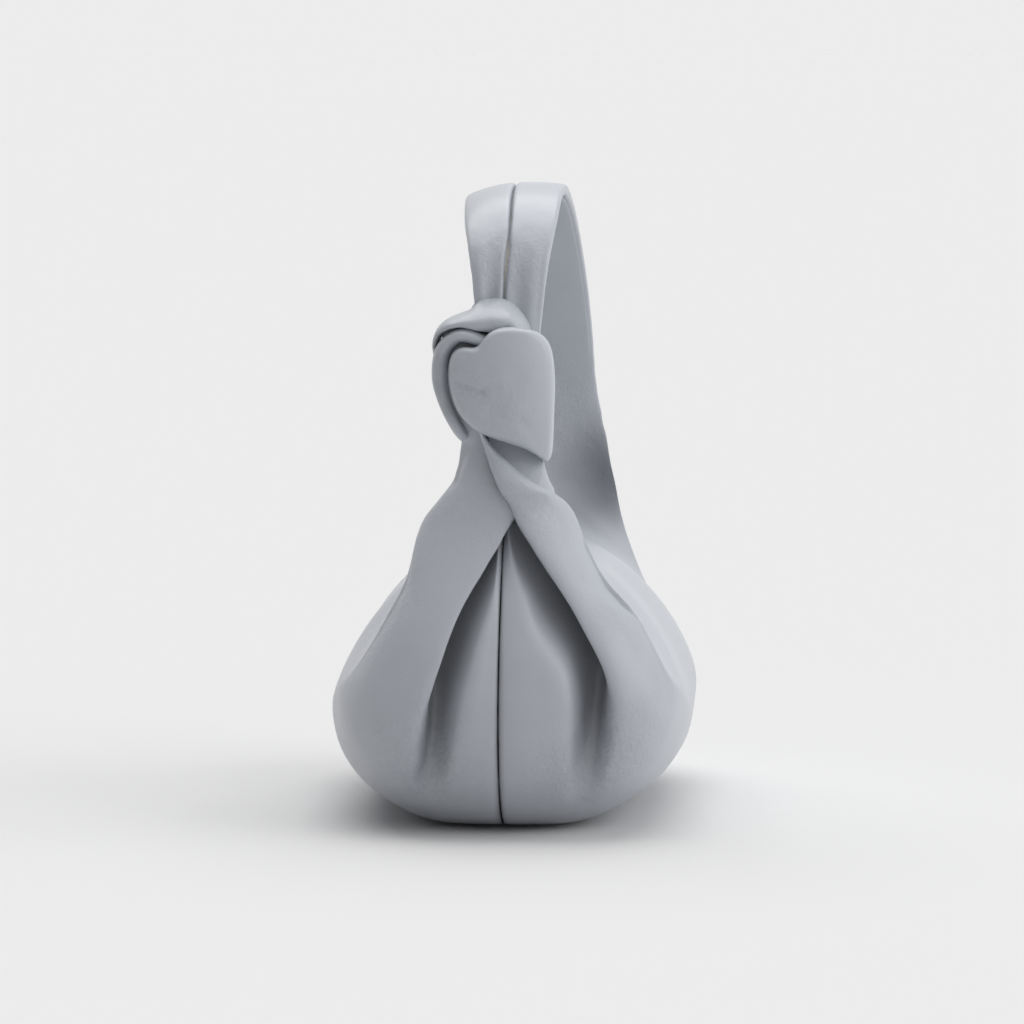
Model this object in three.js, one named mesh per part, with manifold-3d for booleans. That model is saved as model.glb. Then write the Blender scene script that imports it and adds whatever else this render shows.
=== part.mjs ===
// A small soft leather hobo bag with one strap, tied in an overhand knot above its near end.
// Millimetres, +Z up. X runs along the bag, +X towards the knotted end. Y runs across it.
// The origin is on the floor, under the middle of the bag.
import * as THREE from 'three';
import Module from 'manifold-3d';
import { mergeVertices } from 'three/addons/utils/BufferGeometryUtils.js';

const wasm = await Module();
wasm.setup();

// Pouch
const BAG_LENGTH = 250;
const BAG_DEPTH = 145;
const BASE_LENGTH = 150; // flat stretch of the bottom seam, on the floor
const BASE_SINK = 5; // how far the loaded bottom is pressed flat
const END_BULGE_HEIGHT = 46; // where each end reaches furthest out
const SIDE_BULGE_HEIGHT = 38; // where each side reaches furthest out
const MOUTH_HEIGHT = 108; // top of the leather lips beside the zip
const NECK_HEIGHT = 124; // where the panels end and the strap roots begin
const NECK_SPAN = 188; // over the outsides of the two strap roots
const NEAR_NECK_WIDTH = 48;
const NEAR_NECK_THICK = 24;
const FAR_NECK_WIDTH = 68;
const FAR_NECK_THICK = 18;
const FAR_NECK_LEAN = 5; // the far root is drawn this far to the right of the middle
const NEAR_DRAW_IN = 1.3; // how sharply each end draws in towards its root
const FAR_DRAW_IN = 2.2;
const NECK_LENGTH = 26; // from there up to the line through both roots about which the strap drops

// Leather, lining and the clearance between pieces that touch
const LEATHER = 1.6;
const LINING = 0.8;
const CLEARANCE = 0.3;

// Gathers that run up both sides of the end seams into the strap roots
const NEAR_PLEAT_DEPTH = 11;
const FAR_PLEAT_DEPTH = 4;
const PLEAT_WIDTH = 9;
const PLEAT_SPREAD = 41; // from the end seam to the foot of a gather

// Inside pocket
const POCKET_LENGTH = 96;

// Zip
const ZIP_LENGTH = 88; // closed chain
const ZIP_TAPE_WIDTH = 9;
const ZIP_TAPE_THICK = 0.6;
const ZIP_TAPE_TAIL = 15; // bare tape past each end of the chain
const ZIP_DROP = 1.4; // of the tapes below the lips, clear of their slope
const TOOTH_PITCH = 3.2;
const TOOTH_WIDTH = 1.2;
const TOOTH_REACH = 0.7; // past the middle line, between the teeth of the other side
const CHAIN_BEAD = 1.3;
const CHAIN_HEIGHT = 2.2;
const SLIDER_LENGTH = 11;
const SLIDER_WIDTH = 8.6;
const SLIDER_PLATE = 1.1;
const SLIDER_FLANGE = 0.9;
const BAIL_HEIGHT = 3.8;
const BAIL_WIDTH = 2.4;
const BAIL_WIRE = 1.2;
const PULLER_LENGTH = 11; // between the middles of its end bars
const PULLER_WIDTH = 8;
const PULLER_WIRE = 1.2;
const PULL_STRIP_LENGTH = 20;
const PULL_STRIP_WIDTH = 5;
const PULL_STRIP_THICK = 0.8;

// Strap
const STRAP_WIDTH = 41;
const STRAP_HALF_THICK = 2.5;
const STRAP_LEATHER = 1.2;
const STRAP_TURN = 8; // turned-under hem along each edge
const STRAP_FACING = 0.9;
const STRAP_RISE = 100; // of its top above the hinge line
const STRAP_TOP_X = 6;
const STRAP_ROOT_RISE = 16; // above the hinge line, where the far root has flattened into the strap
const STRAP_ROOT_WIDTH = 52;

// Knot
const KNOT_X = 76;
const KNOT_Y = -4;
const KNOT_RISE = 30; // of its middle above the hinge line
const KNOT_WIDE = 50;
const KNOT_TALL = 66;
const KNOT_DEEP = 42;
const KNOT_BAND_THICK = 7;
const KNOT_ENTRY_WIDTH = 30; // bunched strap where it goes in and comes out

// Mesh fineness
const BASE_STEPS = 3;
const TOE_STEPS = 6;
const SHOULDER_STEPS = 7;
const GIRTH_STEPS = 14;
const STRAP_STEPS = 28;
const KNOT_STEPS = 72;
const KNOT_SIDES = 10;
const NECK_STEPS = 5;
const NECK_ARC = 9;

const HINGE_HEIGHT = NECK_HEIGHT + NECK_LENGTH;
const STRAP_TOP = HINGE_HEIGHT + STRAP_RISE;
const STRAP_ROOT_HEIGHT = HINGE_HEIGHT + STRAP_ROOT_RISE;
const KNOT_HEIGHT = HINGE_HEIGHT + KNOT_RISE;

const SLATE = { color: 0x9a9fa8, roughness: 0.48, metalness: 0 };
const SLATE_INNER = { color: 0x8b9098, roughness: 0.62, metalness: 0 };
const SUEDE = { color: 0x8d8a88, roughness: 0.95, metalness: 0 };
const TAPE = { color: 0x83878f, roughness: 0.9, metalness: 0 };
const NICKEL = { color: 0xb9bbbf, roughness: 0.28, metalness: 1 };
const WEBBING = { color: 0xc9c6be, roughness: 0.95, metalness: 0 };

const bag = new THREE.Group();
bag.name = 'knotted_strap_bag';

function addPiece(name, geometry, look) {
  const piece = new THREE.Mesh(geometry, new THREE.MeshStandardMaterial(look));
  piece.name = name;
  bag.add(piece);
  return piece;
}

// Closed solids from points and triangles

// Turns every face outwards if the surface was wound the wrong way round.
function closedSolid(points, triangles) {
  let sixVolume = 0;
  const cross = new THREE.Vector3();
  for (const [a, b, c] of triangles) {
    sixVolume += points[a].dot(cross.crossVectors(points[b], points[c]));
  }
  const index = triangles.flatMap(([a, b, c]) => (sixVolume < 0 ? [a, c, b] : [a, b, c]));
  const geometry = new THREE.BufferGeometry().setFromPoints(points);
  geometry.setIndex(index);
  geometry.computeVertexNormals();
  return geometry;
}

// Skins a row of closed rings that all have as many points, and caps both ends.
function loft(rings) {
  const count = rings[0].length;
  const points = rings.flat();
  const triangles = [];
  for (let i = 0; i + 1 < rings.length; i++) {
    for (let j = 0; j < count; j++) {
      const here = i * count + j;
      const next = i * count + ((j + 1) % count);
      triangles.push([here, next, next + count], [here, next + count, here + count]);
    }
  }
  for (const [ring, start] of [[rings[0], 0], [rings.at(-1), points.length - count]]) {
    const flat = ringOutline(ring);
    const turned = start > 0;
    for (const [a, b, c] of THREE.ShapeUtils.triangulateShape(flat, [])) {
      triangles.push(turned ? [start + a, start + b, start + c] : [start + a, start + c, start + b]);
    }
  }
  return closedSolid(points, triangles);
}

// A flat ring seen square on, as the triangulation of its cap needs it.
function ringOutline(ring) {
  const middle = ring.reduce((sum, p) => sum.add(p), new THREE.Vector3()).divideScalar(ring.length);
  const normal = new THREE.Vector3();
  ring.forEach((p, i) => {
    const next = ring[(i + 1) % ring.length];
    normal.add(p.clone().sub(middle).cross(next.clone().sub(middle)));
  });
  normal.normalize();
  const across = ring[0].clone().sub(middle).normalize();
  const up = normal.clone().cross(across);
  return ring.map((p) => {
    const offset = p.clone().sub(middle);
    return new THREE.Vector2(offset.dot(across), offset.dot(up));
  });
}

// A wall between two grids of points, closed along all four edges.
function wall(outer, inner) {
  const rows = outer.length;
  const columns = outer[0].length;
  const points = [...outer.flat(), ...inner.flat()];
  const deep = rows * columns;
  const at = (i, j) => i * columns + j;
  const triangles = [];
  const quad = (a, b, c, d) => triangles.push([a, b, c], [a, c, d]);
  for (let i = 0; i + 1 < rows; i++) {
    for (let j = 0; j + 1 < columns; j++) {
      const [a, b, c, d] = [at(i, j), at(i, j + 1), at(i + 1, j + 1), at(i + 1, j)];
      quad(a, b, c, d);
      quad(deep + d, deep + c, deep + b, deep + a);
    }
    const [low, high] = [at(i, 0), at(i + 1, 0)];
    const [far, farHigh] = [at(i, columns - 1), at(i + 1, columns - 1)];
    quad(low, high, deep + high, deep + low);
    quad(farHigh, far, deep + far, deep + farHigh);
  }
  for (let j = 0; j + 1 < columns; j++) {
    const [a, b] = [at(0, j), at(0, j + 1)];
    const [c, d] = [at(rows - 1, j), at(rows - 1, j + 1)];
    quad(b, a, deep + a, deep + b);
    quad(c, d, deep + d, deep + c);
  }
  return closedSolid(points, triangles);
}

function toManifold(geometry) {
  const bare = geometry.clone();
  bare.deleteAttribute('normal');
  bare.deleteAttribute('uv');
  const merged = mergeVertices(bare, 1e-4);
  return new wasm.Manifold(new wasm.Mesh({
    numProp: 3,
    vertProperties: merged.attributes.position.array,
    triVerts: new Uint32Array(merged.index.array),
  }));
}

function fromManifold(solid) {
  const mesh = solid.getMesh();
  const geometry = new THREE.BufferGeometry();
  geometry.setAttribute('position', new THREE.BufferAttribute(mesh.vertProperties, 3));
  geometry.setIndex(new THREE.BufferAttribute(mesh.triVerts, 1));
  geometry.computeVertexNormals();
  return geometry;
}

// Pouch surface. The bag is cut in slices that fan out, like an orange's, from the hinge line:
// each slice is a closed section from the end or bottom seam round to the lip beside the zip.

const NEAR = {
  side: 1, neckWidth: NEAR_NECK_WIDTH, neckThick: NEAR_NECK_THICK, neckLean: 0,
  drawIn: NEAR_DRAW_IN, pleat: NEAR_PLEAT_DEPTH,
};
const FAR = {
  side: -1, neckWidth: FAR_NECK_WIDTH, neckThick: FAR_NECK_THICK, neckLean: FAR_NECK_LEAN,
  drawIn: FAR_DRAW_IN, pleat: FAR_PLEAT_DEPTH,
};
const NECK_X = NECK_SPAN / 2;
const NECK_ANGLE = Math.atan2(NECK_X, HINGE_HEIGHT - NECK_HEIGHT);
const SHOULDER_ANGLE = THREE.MathUtils.degToRad(28); // where the sides start to draw in
const SHOULDER_DROP = 0.16; // how far the widest part sags towards the seam there
const BELLY_CURVE = 2.15; // exponent of a slice's lower half, 2 for an ellipse
const DOME_SLACK = 1.38; // how slackly the upper half falls away from the lip, 1 for an ellipse
const SHOULDER_SLACK = 2;
const LIP_HALF = SLIDER_WIDTH / 2 + 1.2;

// The end seam seen from the side: along the floor, round the toe and up the shoulder to the root.
function endOutline() {
  const point = (x, z) => new THREE.Vector2(x, z);
  const base = point(BASE_LENGTH / 2, -BASE_SINK);
  const bulge = point(BAG_LENGTH / 2, END_BULGE_HEIGHT);
  const neck = point(NECK_X, NECK_HEIGHT);
  const toeReach = bulge.x - base.x;
  const rise = neck.y - bulge.y;
  const floor = new THREE.LineCurve(point(0, -BASE_SINK), base);
  const toe = new THREE.CubicBezierCurve(
    base, point(base.x + 0.6 * toeReach, base.y), point(bulge.x, 0.4 * bulge.y), bulge);
  const shoulder = new THREE.CubicBezierCurve(
    bulge, point(bulge.x, bulge.y + 0.35 * rise), point(neck.x + 8, neck.y - 0.3 * rise), neck);
  return [[floor, BASE_STEPS], [toe, TOE_STEPS], [shoulder, SHOULDER_STEPS]].flatMap(
    ([curve, steps], k) => curve.getPoints(steps).slice(k ? 1 : 0));
}

// One slice: how far its seam, its widest point and its lip lie from the hinge line.
function sliceAt(end, outlinePoint) {
  const angle = Math.atan2(outlinePoint.x, HINGE_HEIGHT - outlinePoint.y);
  const outer = Math.hypot(outlinePoint.x, HINGE_HEIGHT - outlinePoint.y);
  const toZip = (HINGE_HEIGHT - MOUTH_HEIGHT) / Math.cos(angle);
  const toNeck = (NECK_X - end.neckThick) / Math.max(Math.sin(angle), 1e-6);
  const inner = (toZip ** -12 + toNeck ** -12) ** (-1 / 12);
  const s = Math.max(0, (angle - SHOULDER_ANGLE) / (NECK_ANGLE - SHOULDER_ANGLE));
  const full = Math.max(0, 1 - s * s) ** end.drawIn;
  const rise = angle / NECK_ANGLE;
  const shoulder = THREE.MathUtils.smoothstep(rise, 0.45, 0.7)
    - THREE.MathUtils.smoothstep(rise, 0.88, 1);
  const neckHalf = end.neckWidth / 2;
  const sideShare = THREE.MathUtils.lerp(
    (HINGE_HEIGHT - SIDE_BULGE_HEIGHT - toZip) / (HINGE_HEIGHT - toZip), 0.5, rise);
  const zipEnd = Math.atan2(ZIP_LENGTH / 2 + ZIP_TAPE_TAIL, HINGE_HEIGHT - MOUTH_HEIGHT);
  const lipOpen = 1 - THREE.MathUtils.smoothstep(angle, zipEnd - 0.05, zipEnd + 0.12);
  const gatherFoot = THREE.MathUtils.smoothstep(angle, SHOULDER_ANGLE, SHOULDER_ANGLE + 0.35);
  return {
    angle: angle * end.side,
    outer,
    inner,
    widest: inner + (outer - inner) * (sideShare + SHOULDER_DROP * shoulder),
    half: neckHalf + (BAG_DEPTH / 2 - neckHalf) * full,
    lean: end.neckLean * THREE.MathUtils.smoothstep(rise, 0.7, 1),
    slack: THREE.MathUtils.lerp(DOME_SLACK, SHOULDER_SLACK, shoulder),
    lip: CLEARANCE / 2 + (LIP_HALF - CLEARANCE / 2) * lipOpen,
    pleatY: THREE.MathUtils.lerp(PLEAT_SPREAD, neckHalf * 0.4, THREE.MathUtils.smoothstep(rise, 0.55, 1)),
    pleatDepth: end.pleat * gatherFoot * THREE.MathUtils.lerp(1, 0.35, rise ** 6),
  };
}

// A point of the skin: girth runs from 0 at the seam, by 0.5 at the side, to 1 at the lip.
function skinPoint(slice, girth, hand) {
  const turn = girth * Math.PI;
  const onTop = girth > 0.5;
  const across = Math.abs(Math.sin(turn)) ** (onTop ? 1 : 2 / BELLY_CURVE);
  const along = Math.abs(Math.cos(turn)) ** (onTop ? slice.slack : 2 / BELLY_CURVE);
  const edge = onTop ? slice.lip : CLEARANCE / 2;
  const y = edge + (slice.half - edge) * across;
  let r = slice.widest + (onTop ? slice.inner - slice.widest : slice.outer - slice.widest) * along;
  if (!onTop) {
    r -= slice.pleatDepth * Math.exp(-(((y - slice.pleatY) / PLEAT_WIDTH) ** 2));
  }
  const x = r * Math.sin(slice.angle);
  const z = HINGE_HEIGHT - r * Math.cos(slice.angle);
  return new THREE.Vector3(x, slice.lean + hand * y, Math.max(z, 0));
}

// All slices from the far root, under the bag, to the near root.
const outline = endOutline();
const SLICES = [
  ...outline.slice(1).reverse().map((p) => sliceAt(FAR, p)),
  ...outline.map((p) => sliceAt(NEAR, p)),
];

const evenSteps = (from, to, steps) =>
  Array.from({ length: steps + 1 }, (_, k) => from + ((to - from) * k) / steps);

const GIRTHS = evenSteps(0, 1, GIRTH_STEPS);

// The whole skin on one hand of the seam, with unit normals that point out of the bag. Those of the
// first and last slice stay in the slice's plane, so that a layer is cut off square there.
function skinSide(hand) {
  const grid = SLICES.map((slice) => GIRTHS.map((g) => skinPoint(slice, g, hand)));
  const between = (a, b) => b.clone().sub(a);
  const normals = grid.map((row, i) => row.map((_, j) => {
    const rowAbove = grid[Math.min(i + 1, grid.length - 1)];
    const rowBelow = grid[Math.max(i - 1, 0)];
    const along = between(rowBelow[j], rowAbove[j]);
    const around = between(row[Math.max(j - 1, 0)], row[Math.min(j + 1, row.length - 1)]);
    const normal = along.cross(around).multiplyScalar(-hand);
    if (rowAbove === row || rowBelow === row) {
      const { angle } = SLICES[i];
      const facing = new THREE.Vector3(Math.cos(angle), 0, Math.sin(angle));
      normal.addScaledVector(facing, -normal.dot(facing));
    }
    return normal.normalize();
  }));
  return { grid, normals };
}

const SKIN = { left: skinSide(-1), right: skinSide(1) };
const HAND = { left: -1, right: 1 };

// One layer of the pouch's wall between two depths under the skin, over the slices and the part of
// the girth that it covers.
function wallLayer(label, depth, thick, hasSlice = () => true, hasGirth = () => true) {
  const { grid, normals } = SKIN[label];
  const hand = HAND[label];
  const sunk = (amount) => grid.map((row, i) => row.map((p, j) => {
    const q = p.clone().addScaledVector(normals[i][j], -amount);
    const { lean } = SLICES[i];
    q.y = lean + hand * Math.max(hand * (q.y - lean), CLEARANCE / 2);
    return q;
  }).filter((_, j) => hasGirth(GIRTHS[j]))).filter((_, i) => hasSlice(SLICES[i]));
  return wall(sunk(depth), sunk(depth + thick));
}

const TAPE_SEAT = LEATHER + CLEARANCE;
const LINING_DEPTH = TAPE_SEAT + ZIP_TAPE_THICK + CLEARANCE + 1.8; // clear of the domed lips' slope
const LINING_REACH = THREE.MathUtils.degToRad(58);
const isLined = (slice) => Math.abs(slice.angle) < LINING_REACH;
const isPocket = (slice) => Math.abs(slice.widest * Math.sin(slice.angle)) <= POCKET_LENGTH / 2;

for (const label of ['left', 'right']) {
  addPiece(`${label}_panel`, wallLayer(label, 0, LEATHER), SLATE);
  addPiece(`${label}_lining`, wallLayer(label, LINING_DEPTH, LINING, isLined), SUEDE);
}
addPiece('slip_pocket',
  wallLayer('right', LINING_DEPTH + LINING + CLEARANCE, LINING, isPocket, (g) => g > 0.35 && g < 0.72),
  SUEDE);

// Zip: two tapes under the lips, two rows of teeth, stops, slider, puller and its leather strip

const TAPE_Z = MOUTH_HEIGHT - TAPE_SEAT - ZIP_DROP - ZIP_TAPE_THICK / 2; // middle of the tapes
const TAPE_INNER = CHAIN_BEAD + 0.9 + CLEARANCE;

function slab(x0, x1, y0, y1, z0, z1) {
  const box = new THREE.BoxGeometry(x1 - x0, y1 - y0, z1 - z0);
  return box.translate((x0 + x1) / 2, (y0 + y1) / 2, (z0 + z1) / 2);
}

// A row of teeth on its bead, as a comb cut from a flat bar. hand +1 is the right row.
function chainRow(hand) {
  const bead = TAPE_INNER - CLEARANCE;
  const count = Math.floor(ZIP_LENGTH / TOOTH_PITCH) - 1;
  const first = (-(count - 1) * TOOTH_PITCH) / 2 + TOOTH_PITCH / 4;
  const comb = new THREE.Shape();
  comb.moveTo(-ZIP_LENGTH / 2, bead);
  comb.lineTo(-ZIP_LENGTH / 2, bead - CHAIN_BEAD);
  for (let k = 0; k < count; k++) {
    const x = first + k * TOOTH_PITCH;
    comb.lineTo(x - TOOTH_WIDTH / 2, bead - CHAIN_BEAD);
    comb.lineTo(x - TOOTH_WIDTH / 2, -TOOTH_REACH + 0.2);
    comb.lineTo(x, -TOOTH_REACH);
    comb.lineTo(x + TOOTH_WIDTH / 2, -TOOTH_REACH + 0.2);
    comb.lineTo(x + TOOTH_WIDTH / 2, bead - CHAIN_BEAD);
  }
  comb.lineTo(ZIP_LENGTH / 2, bead - CHAIN_BEAD);
  comb.lineTo(ZIP_LENGTH / 2, bead);
  const bar = new THREE.ExtrudeGeometry(comb, { depth: CHAIN_HEIGHT, bevelEnabled: false });
  bar.translate(0, 0, TAPE_Z - CHAIN_HEIGHT / 2);
  return hand > 0 ? bar : bar.rotateZ(Math.PI);
}

const TAPE_END = ZIP_LENGTH / 2 + ZIP_TAPE_TAIL;
const STOP_LENGTH = 3;
for (const [label, hand] of Object.entries(HAND)) {
  const [y0, y1] = [hand * TAPE_INNER, hand * (TAPE_INNER + ZIP_TAPE_WIDTH)].sort((a, b) => a - b);
  addPiece(`zip_tape_${label}`,
    slab(-TAPE_END, TAPE_END, y0, y1, TAPE_Z - ZIP_TAPE_THICK / 2, TAPE_Z + ZIP_TAPE_THICK / 2), TAPE);
  addPiece(`zip_teeth_${label}`, chainRow(hand), NICKEL);
  const [s0, s1] = [hand * (TAPE_INNER - CLEARANCE), hand * 0.9].sort((a, b) => a - b);
  const stopX = ZIP_LENGTH / 2 + SLIDER_LENGTH + 2 * CLEARANCE;
  addPiece(`zip_top_stop_${label}`,
    slab(stopX, stopX + STOP_LENGTH, s0, s1,
      TAPE_Z - CHAIN_HEIGHT / 2, TAPE_Z + CHAIN_HEIGHT / 2), NICKEL);
}
addPiece('zip_bottom_stop',
  slab(-ZIP_LENGTH / 2 - CLEARANCE - STOP_LENGTH, -ZIP_LENGTH / 2 - CLEARANCE,
    -TAPE_INNER + CLEARANCE, TAPE_INNER - CLEARANCE,
    TAPE_Z - CHAIN_HEIGHT / 2, TAPE_Z + CHAIN_HEIGHT / 2), NICKEL);

// The slider is parked past the last teeth: two plates with flanges, joined by the wedge between them.
const SLIDER_REAR = ZIP_LENGTH / 2 + CLEARANCE;
const SLIDER_FRONT = SLIDER_REAR + SLIDER_LENGTH;
const CHANNEL = CHAIN_HEIGHT / 2 + CLEARANCE;
const SLIDER_TOP = TAPE_Z + CHANNEL + SLIDER_PLATE;

function sliderSection() {
  const half = SLIDER_WIDTH / 2;
  const lip = ZIP_TAPE_THICK / 2 + CLEARANCE;
  const wedge = 0.6;
  const outer = CHANNEL + SLIDER_PLATE;
  const quarter = [
    [wedge, CHANNEL], [half - SLIDER_FLANGE, CHANNEL], [half - SLIDER_FLANGE, lip], [half, lip],
    [half, outer - 0.4], [half - 0.4, outer],
  ];
  const upper = [...quarter, ...quarter.map(([y, z]) => [-y, z]).reverse()];
  const lower = upper.map(([y, z]) => [-y, -z]);
  return new THREE.Shape([...upper, ...lower].map(([y, z]) => new THREE.Vector2(y, z)));
}

// An upright ring on the slider's crown that carries the puller.
function bail() {
  const reach = SLIDER_LENGTH / 2 - 1;
  const arch = new THREE.Shape();
  arch.moveTo(-reach, -SLIDER_PLATE / 2);
  arch.lineTo(-reach, BAIL_HEIGHT - 1.5);
  arch.quadraticCurveTo(-reach, BAIL_HEIGHT, -reach + 1.5, BAIL_HEIGHT);
  arch.lineTo(reach - 1.5, BAIL_HEIGHT);
  arch.quadraticCurveTo(reach, BAIL_HEIGHT, reach, BAIL_HEIGHT - 1.5);
  arch.lineTo(reach, -SLIDER_PLATE / 2);
  arch.lineTo(reach - BAIL_WIRE, -SLIDER_PLATE / 2);
  arch.lineTo(reach - BAIL_WIRE, BAIL_HEIGHT - BAIL_WIRE);
  arch.lineTo(-reach + BAIL_WIRE, BAIL_HEIGHT - BAIL_WIRE);
  arch.lineTo(-reach + BAIL_WIRE, -SLIDER_PLATE / 2);
  const bar = new THREE.ExtrudeGeometry(arch, { depth: BAIL_WIDTH, bevelEnabled: false });
  bar.translate(0, 0, -BAIL_WIDTH / 2).rotateX(Math.PI / 2);
  return bar;
}

const SLIDER_MIDDLE = (SLIDER_REAR + SLIDER_FRONT) / 2;
const plates = new THREE.ExtrudeGeometry(sliderSection(), { depth: SLIDER_LENGTH, bevelEnabled: false });
plates.rotateX(Math.PI / 2).rotateZ(Math.PI / 2).translate(SLIDER_REAR, 0, TAPE_Z);
const ring = bail().translate(SLIDER_MIDDLE, 0, SLIDER_TOP);
addPiece('zip_slider', fromManifold(toManifold(plates).add(toManifold(ring))), NICKEL);

// The puller is a flat link that hangs from the bail and lies back along the teeth.
const PULLER_X = SLIDER_MIDDLE - 2;
const PULLER_Z = SLIDER_TOP + CLEARANCE + PULLER_WIRE / 2;

function roundedBar(x0, x1, half, radius) {
  const bar = new THREE.Shape();
  bar.moveTo(x0 + radius, -half);
  bar.lineTo(x1 - radius, -half);
  bar.quadraticCurveTo(x1, -half, x1, -half + radius);
  bar.lineTo(x1, half - radius);
  bar.quadraticCurveTo(x1, half, x1 - radius, half);
  bar.lineTo(x0 + radius, half);
  bar.quadraticCurveTo(x0, half, x0, half - radius);
  bar.lineTo(x0, -half + radius);
  bar.quadraticCurveTo(x0, -half, x0 + radius, -half);
  return bar;
}

const link = roundedBar(
  -PULLER_LENGTH - PULLER_WIRE / 2, PULLER_WIRE / 2, PULLER_WIDTH / 2, PULLER_WIRE);
link.holes.push(roundedBar(
  -PULLER_LENGTH + PULLER_WIRE / 2, -PULLER_WIRE / 2, PULLER_WIDTH / 2 - PULLER_WIRE, PULLER_WIRE / 3));
addPiece('zip_puller',
  new THREE.ExtrudeGeometry(link, { depth: PULLER_WIRE, bevelEnabled: false, curveSegments: 3 })
    .translate(PULLER_X, 0, PULLER_Z - PULLER_WIRE / 2), NICKEL);

// The leather pull is folded round the link's back bar and stitched to itself, seen from its side.
const eyeRadius = PULLER_WIRE * 0.71 + CLEARANCE;
const foldRadius = eyeRadius + PULL_STRIP_THICK;
const strip = new THREE.Shape();
const tail = -Math.sqrt(foldRadius ** 2 - PULL_STRIP_THICK ** 2);
strip.moveTo(-PULL_STRIP_LENGTH, -PULL_STRIP_THICK);
strip.lineTo(tail, -PULL_STRIP_THICK);
strip.absarc(0, 0, foldRadius, Math.PI + Math.asin(PULL_STRIP_THICK / foldRadius),
  3 * Math.PI - Math.asin(PULL_STRIP_THICK / foldRadius), false);
strip.lineTo(-PULL_STRIP_LENGTH, PULL_STRIP_THICK);
strip.holes.push(new THREE.Path().absarc(0, 0, eyeRadius, 0, 2 * Math.PI, true));
addPiece('zip_pull_strip',
  new THREE.ExtrudeGeometry(strip, { depth: PULL_STRIP_WIDTH, bevelEnabled: false, curveSegments: 10 })
    .rotateX(Math.PI / 2)
    .translate(PULLER_X - PULLER_LENGTH, PULL_STRIP_WIDTH / 2, PULLER_Z), SLATE_INNER);

// Knot: the strap itself, bunched and tied once. Each row is a point of its middle line as
// [across, up, out] in half sizes of the knot, its width and thickness as shares of the flat strap
// and of the bunched band, and the way its width lies there.
const KNOT_ROUTE = [
  [0.0, -1.09, -0.1, 0, 1.4, [1, 0, 0]],
  [0.0, -0.55, -0.05, 0.63, 1.5, [1, 0, 0]],
  [0.12, 0.06, 0.0, 0.58, 1.5, [1, 0, 0]],
  [0.32, 0.55, 0.14, 0.54, 1.4, [0.8, 0.2, 0.6]],
  [0.08, 0.85, 0.33, 0.44, 1.15, [0.2, 0.4, 0.9]],
  [-0.48, 0.82, 0.38, 0.41, 1.15, [0, 0.2, 1]],
  [-0.88, 0.48, 0.24, 0.39, 1.15, [0, 0, 1]],
  [-1.0, 0.06, 0.05, 0.39, 1.15, [0, 0, 1]],
  [-0.8, -0.42, -0.24, 0.44, 1.15, [0.1, -0.4, 0.9]],
  [-0.32, -0.6, -0.62, 0.54, 1.15, [0, -0.9, 0.4]],
  [0.32, -0.3, -0.81, 0.68, 1.15, [0, -1, 0]],
  [0.8, -0.06, -0.57, 0.83, 1.15, [0, -1, 0]],
  [1.0, -0.06, 0.0, 0.98, 1.15, [0, -1, 0]],
  [0.8, -0.06, 0.62, 1.02, 1.15, [0, -1, 0]],
  [0.16, -0.06, 0.86, 1.07, 1.15, [0, -1, 0]],
  [-0.48, 0.0, 0.72, 0.93, 1.15, [0, -1, 0]],
  [-0.76, 0.09, 0.38, 0.68, 1.15, [0, -1, 0]],
  [-0.64, 0.24, -0.05, 0.49, 1.1, [0.2, -0.9, -0.4]],
  [-0.16, 0.55, -0.33, 0.54, 1.0, [0.6, -0.6, -0.3]],
  [0.08, 0.97, -0.38, 0.63, 1.0, [1, -0.1, 0]],
  [0.08, 1.21, -0.43, 0, 1.0, [1, 0, 0]],
];

// The knot's middle line with its section at a share of its length.
const knotPoints = KNOT_ROUTE.map(([across, up, out]) => new THREE.Vector3(
  KNOT_X + (out * KNOT_DEEP) / 2, KNOT_Y + (across * KNOT_WIDE) / 2, KNOT_HEIGHT + (up * KNOT_TALL) / 2));
const knotCurve = new THREE.CatmullRomCurve3(knotPoints, false, 'centripetal');

function knotFrame(share) {
  const place = share * (KNOT_ROUTE.length - 1);
  const k = Math.min(Math.floor(place), KNOT_ROUTE.length - 2);
  const blend = THREE.MathUtils.smoothstep(place - k, 0, 1);
  const [from, to] = [KNOT_ROUTE[k], KNOT_ROUTE[k + 1]];
  const mix = (a, b) => a + (b - a) * blend;
  const fullWidth = (row) => (row[3] ? row[3] * STRAP_WIDTH : KNOT_ENTRY_WIDTH);
  const along = knotCurve.getTangent(share);
  const lie = [0, 1, 2].map((n) => mix(from[5][n], to[5][n]));
  const width = new THREE.Vector3(lie[2], lie[0], lie[1]);
  width.addScaledVector(along, -width.dot(along)).normalize();
  return {
    middle: knotCurve.getPoint(share),
    along,
    width,
    thick: along.clone().cross(width),
    halfWidth: mix(fullWidth(from), fullWidth(to)) / 2,
    halfThick: (mix(from[4], to[4]) * KNOT_BAND_THICK) / 2,
  };
}

// A cushion-shaped ring of a bunched band.
function bandRing(frame, sides) {
  return Array.from({ length: sides }, (_, k) => {
    const turn = (2 * Math.PI * (k + 0.5)) / sides;
    const round = (value) => Math.sign(value) * Math.abs(value) ** 0.8;
    return frame.middle.clone()
      .addScaledVector(frame.width, frame.halfWidth * round(Math.cos(turn)))
      .addScaledVector(frame.thick, frame.halfThick * round(Math.sin(turn)));
  });
}

addPiece('knot',
  loft(evenSteps(0, 1, KNOT_STEPS).map((share) => bandRing(knotFrame(share), KNOT_SIDES))), SLATE);
const knotIn = knotFrame(0);
const knotOut = knotFrame(1);

// Strap roots: each is gathered from both panels, in two halves that meet along a seam

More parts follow.
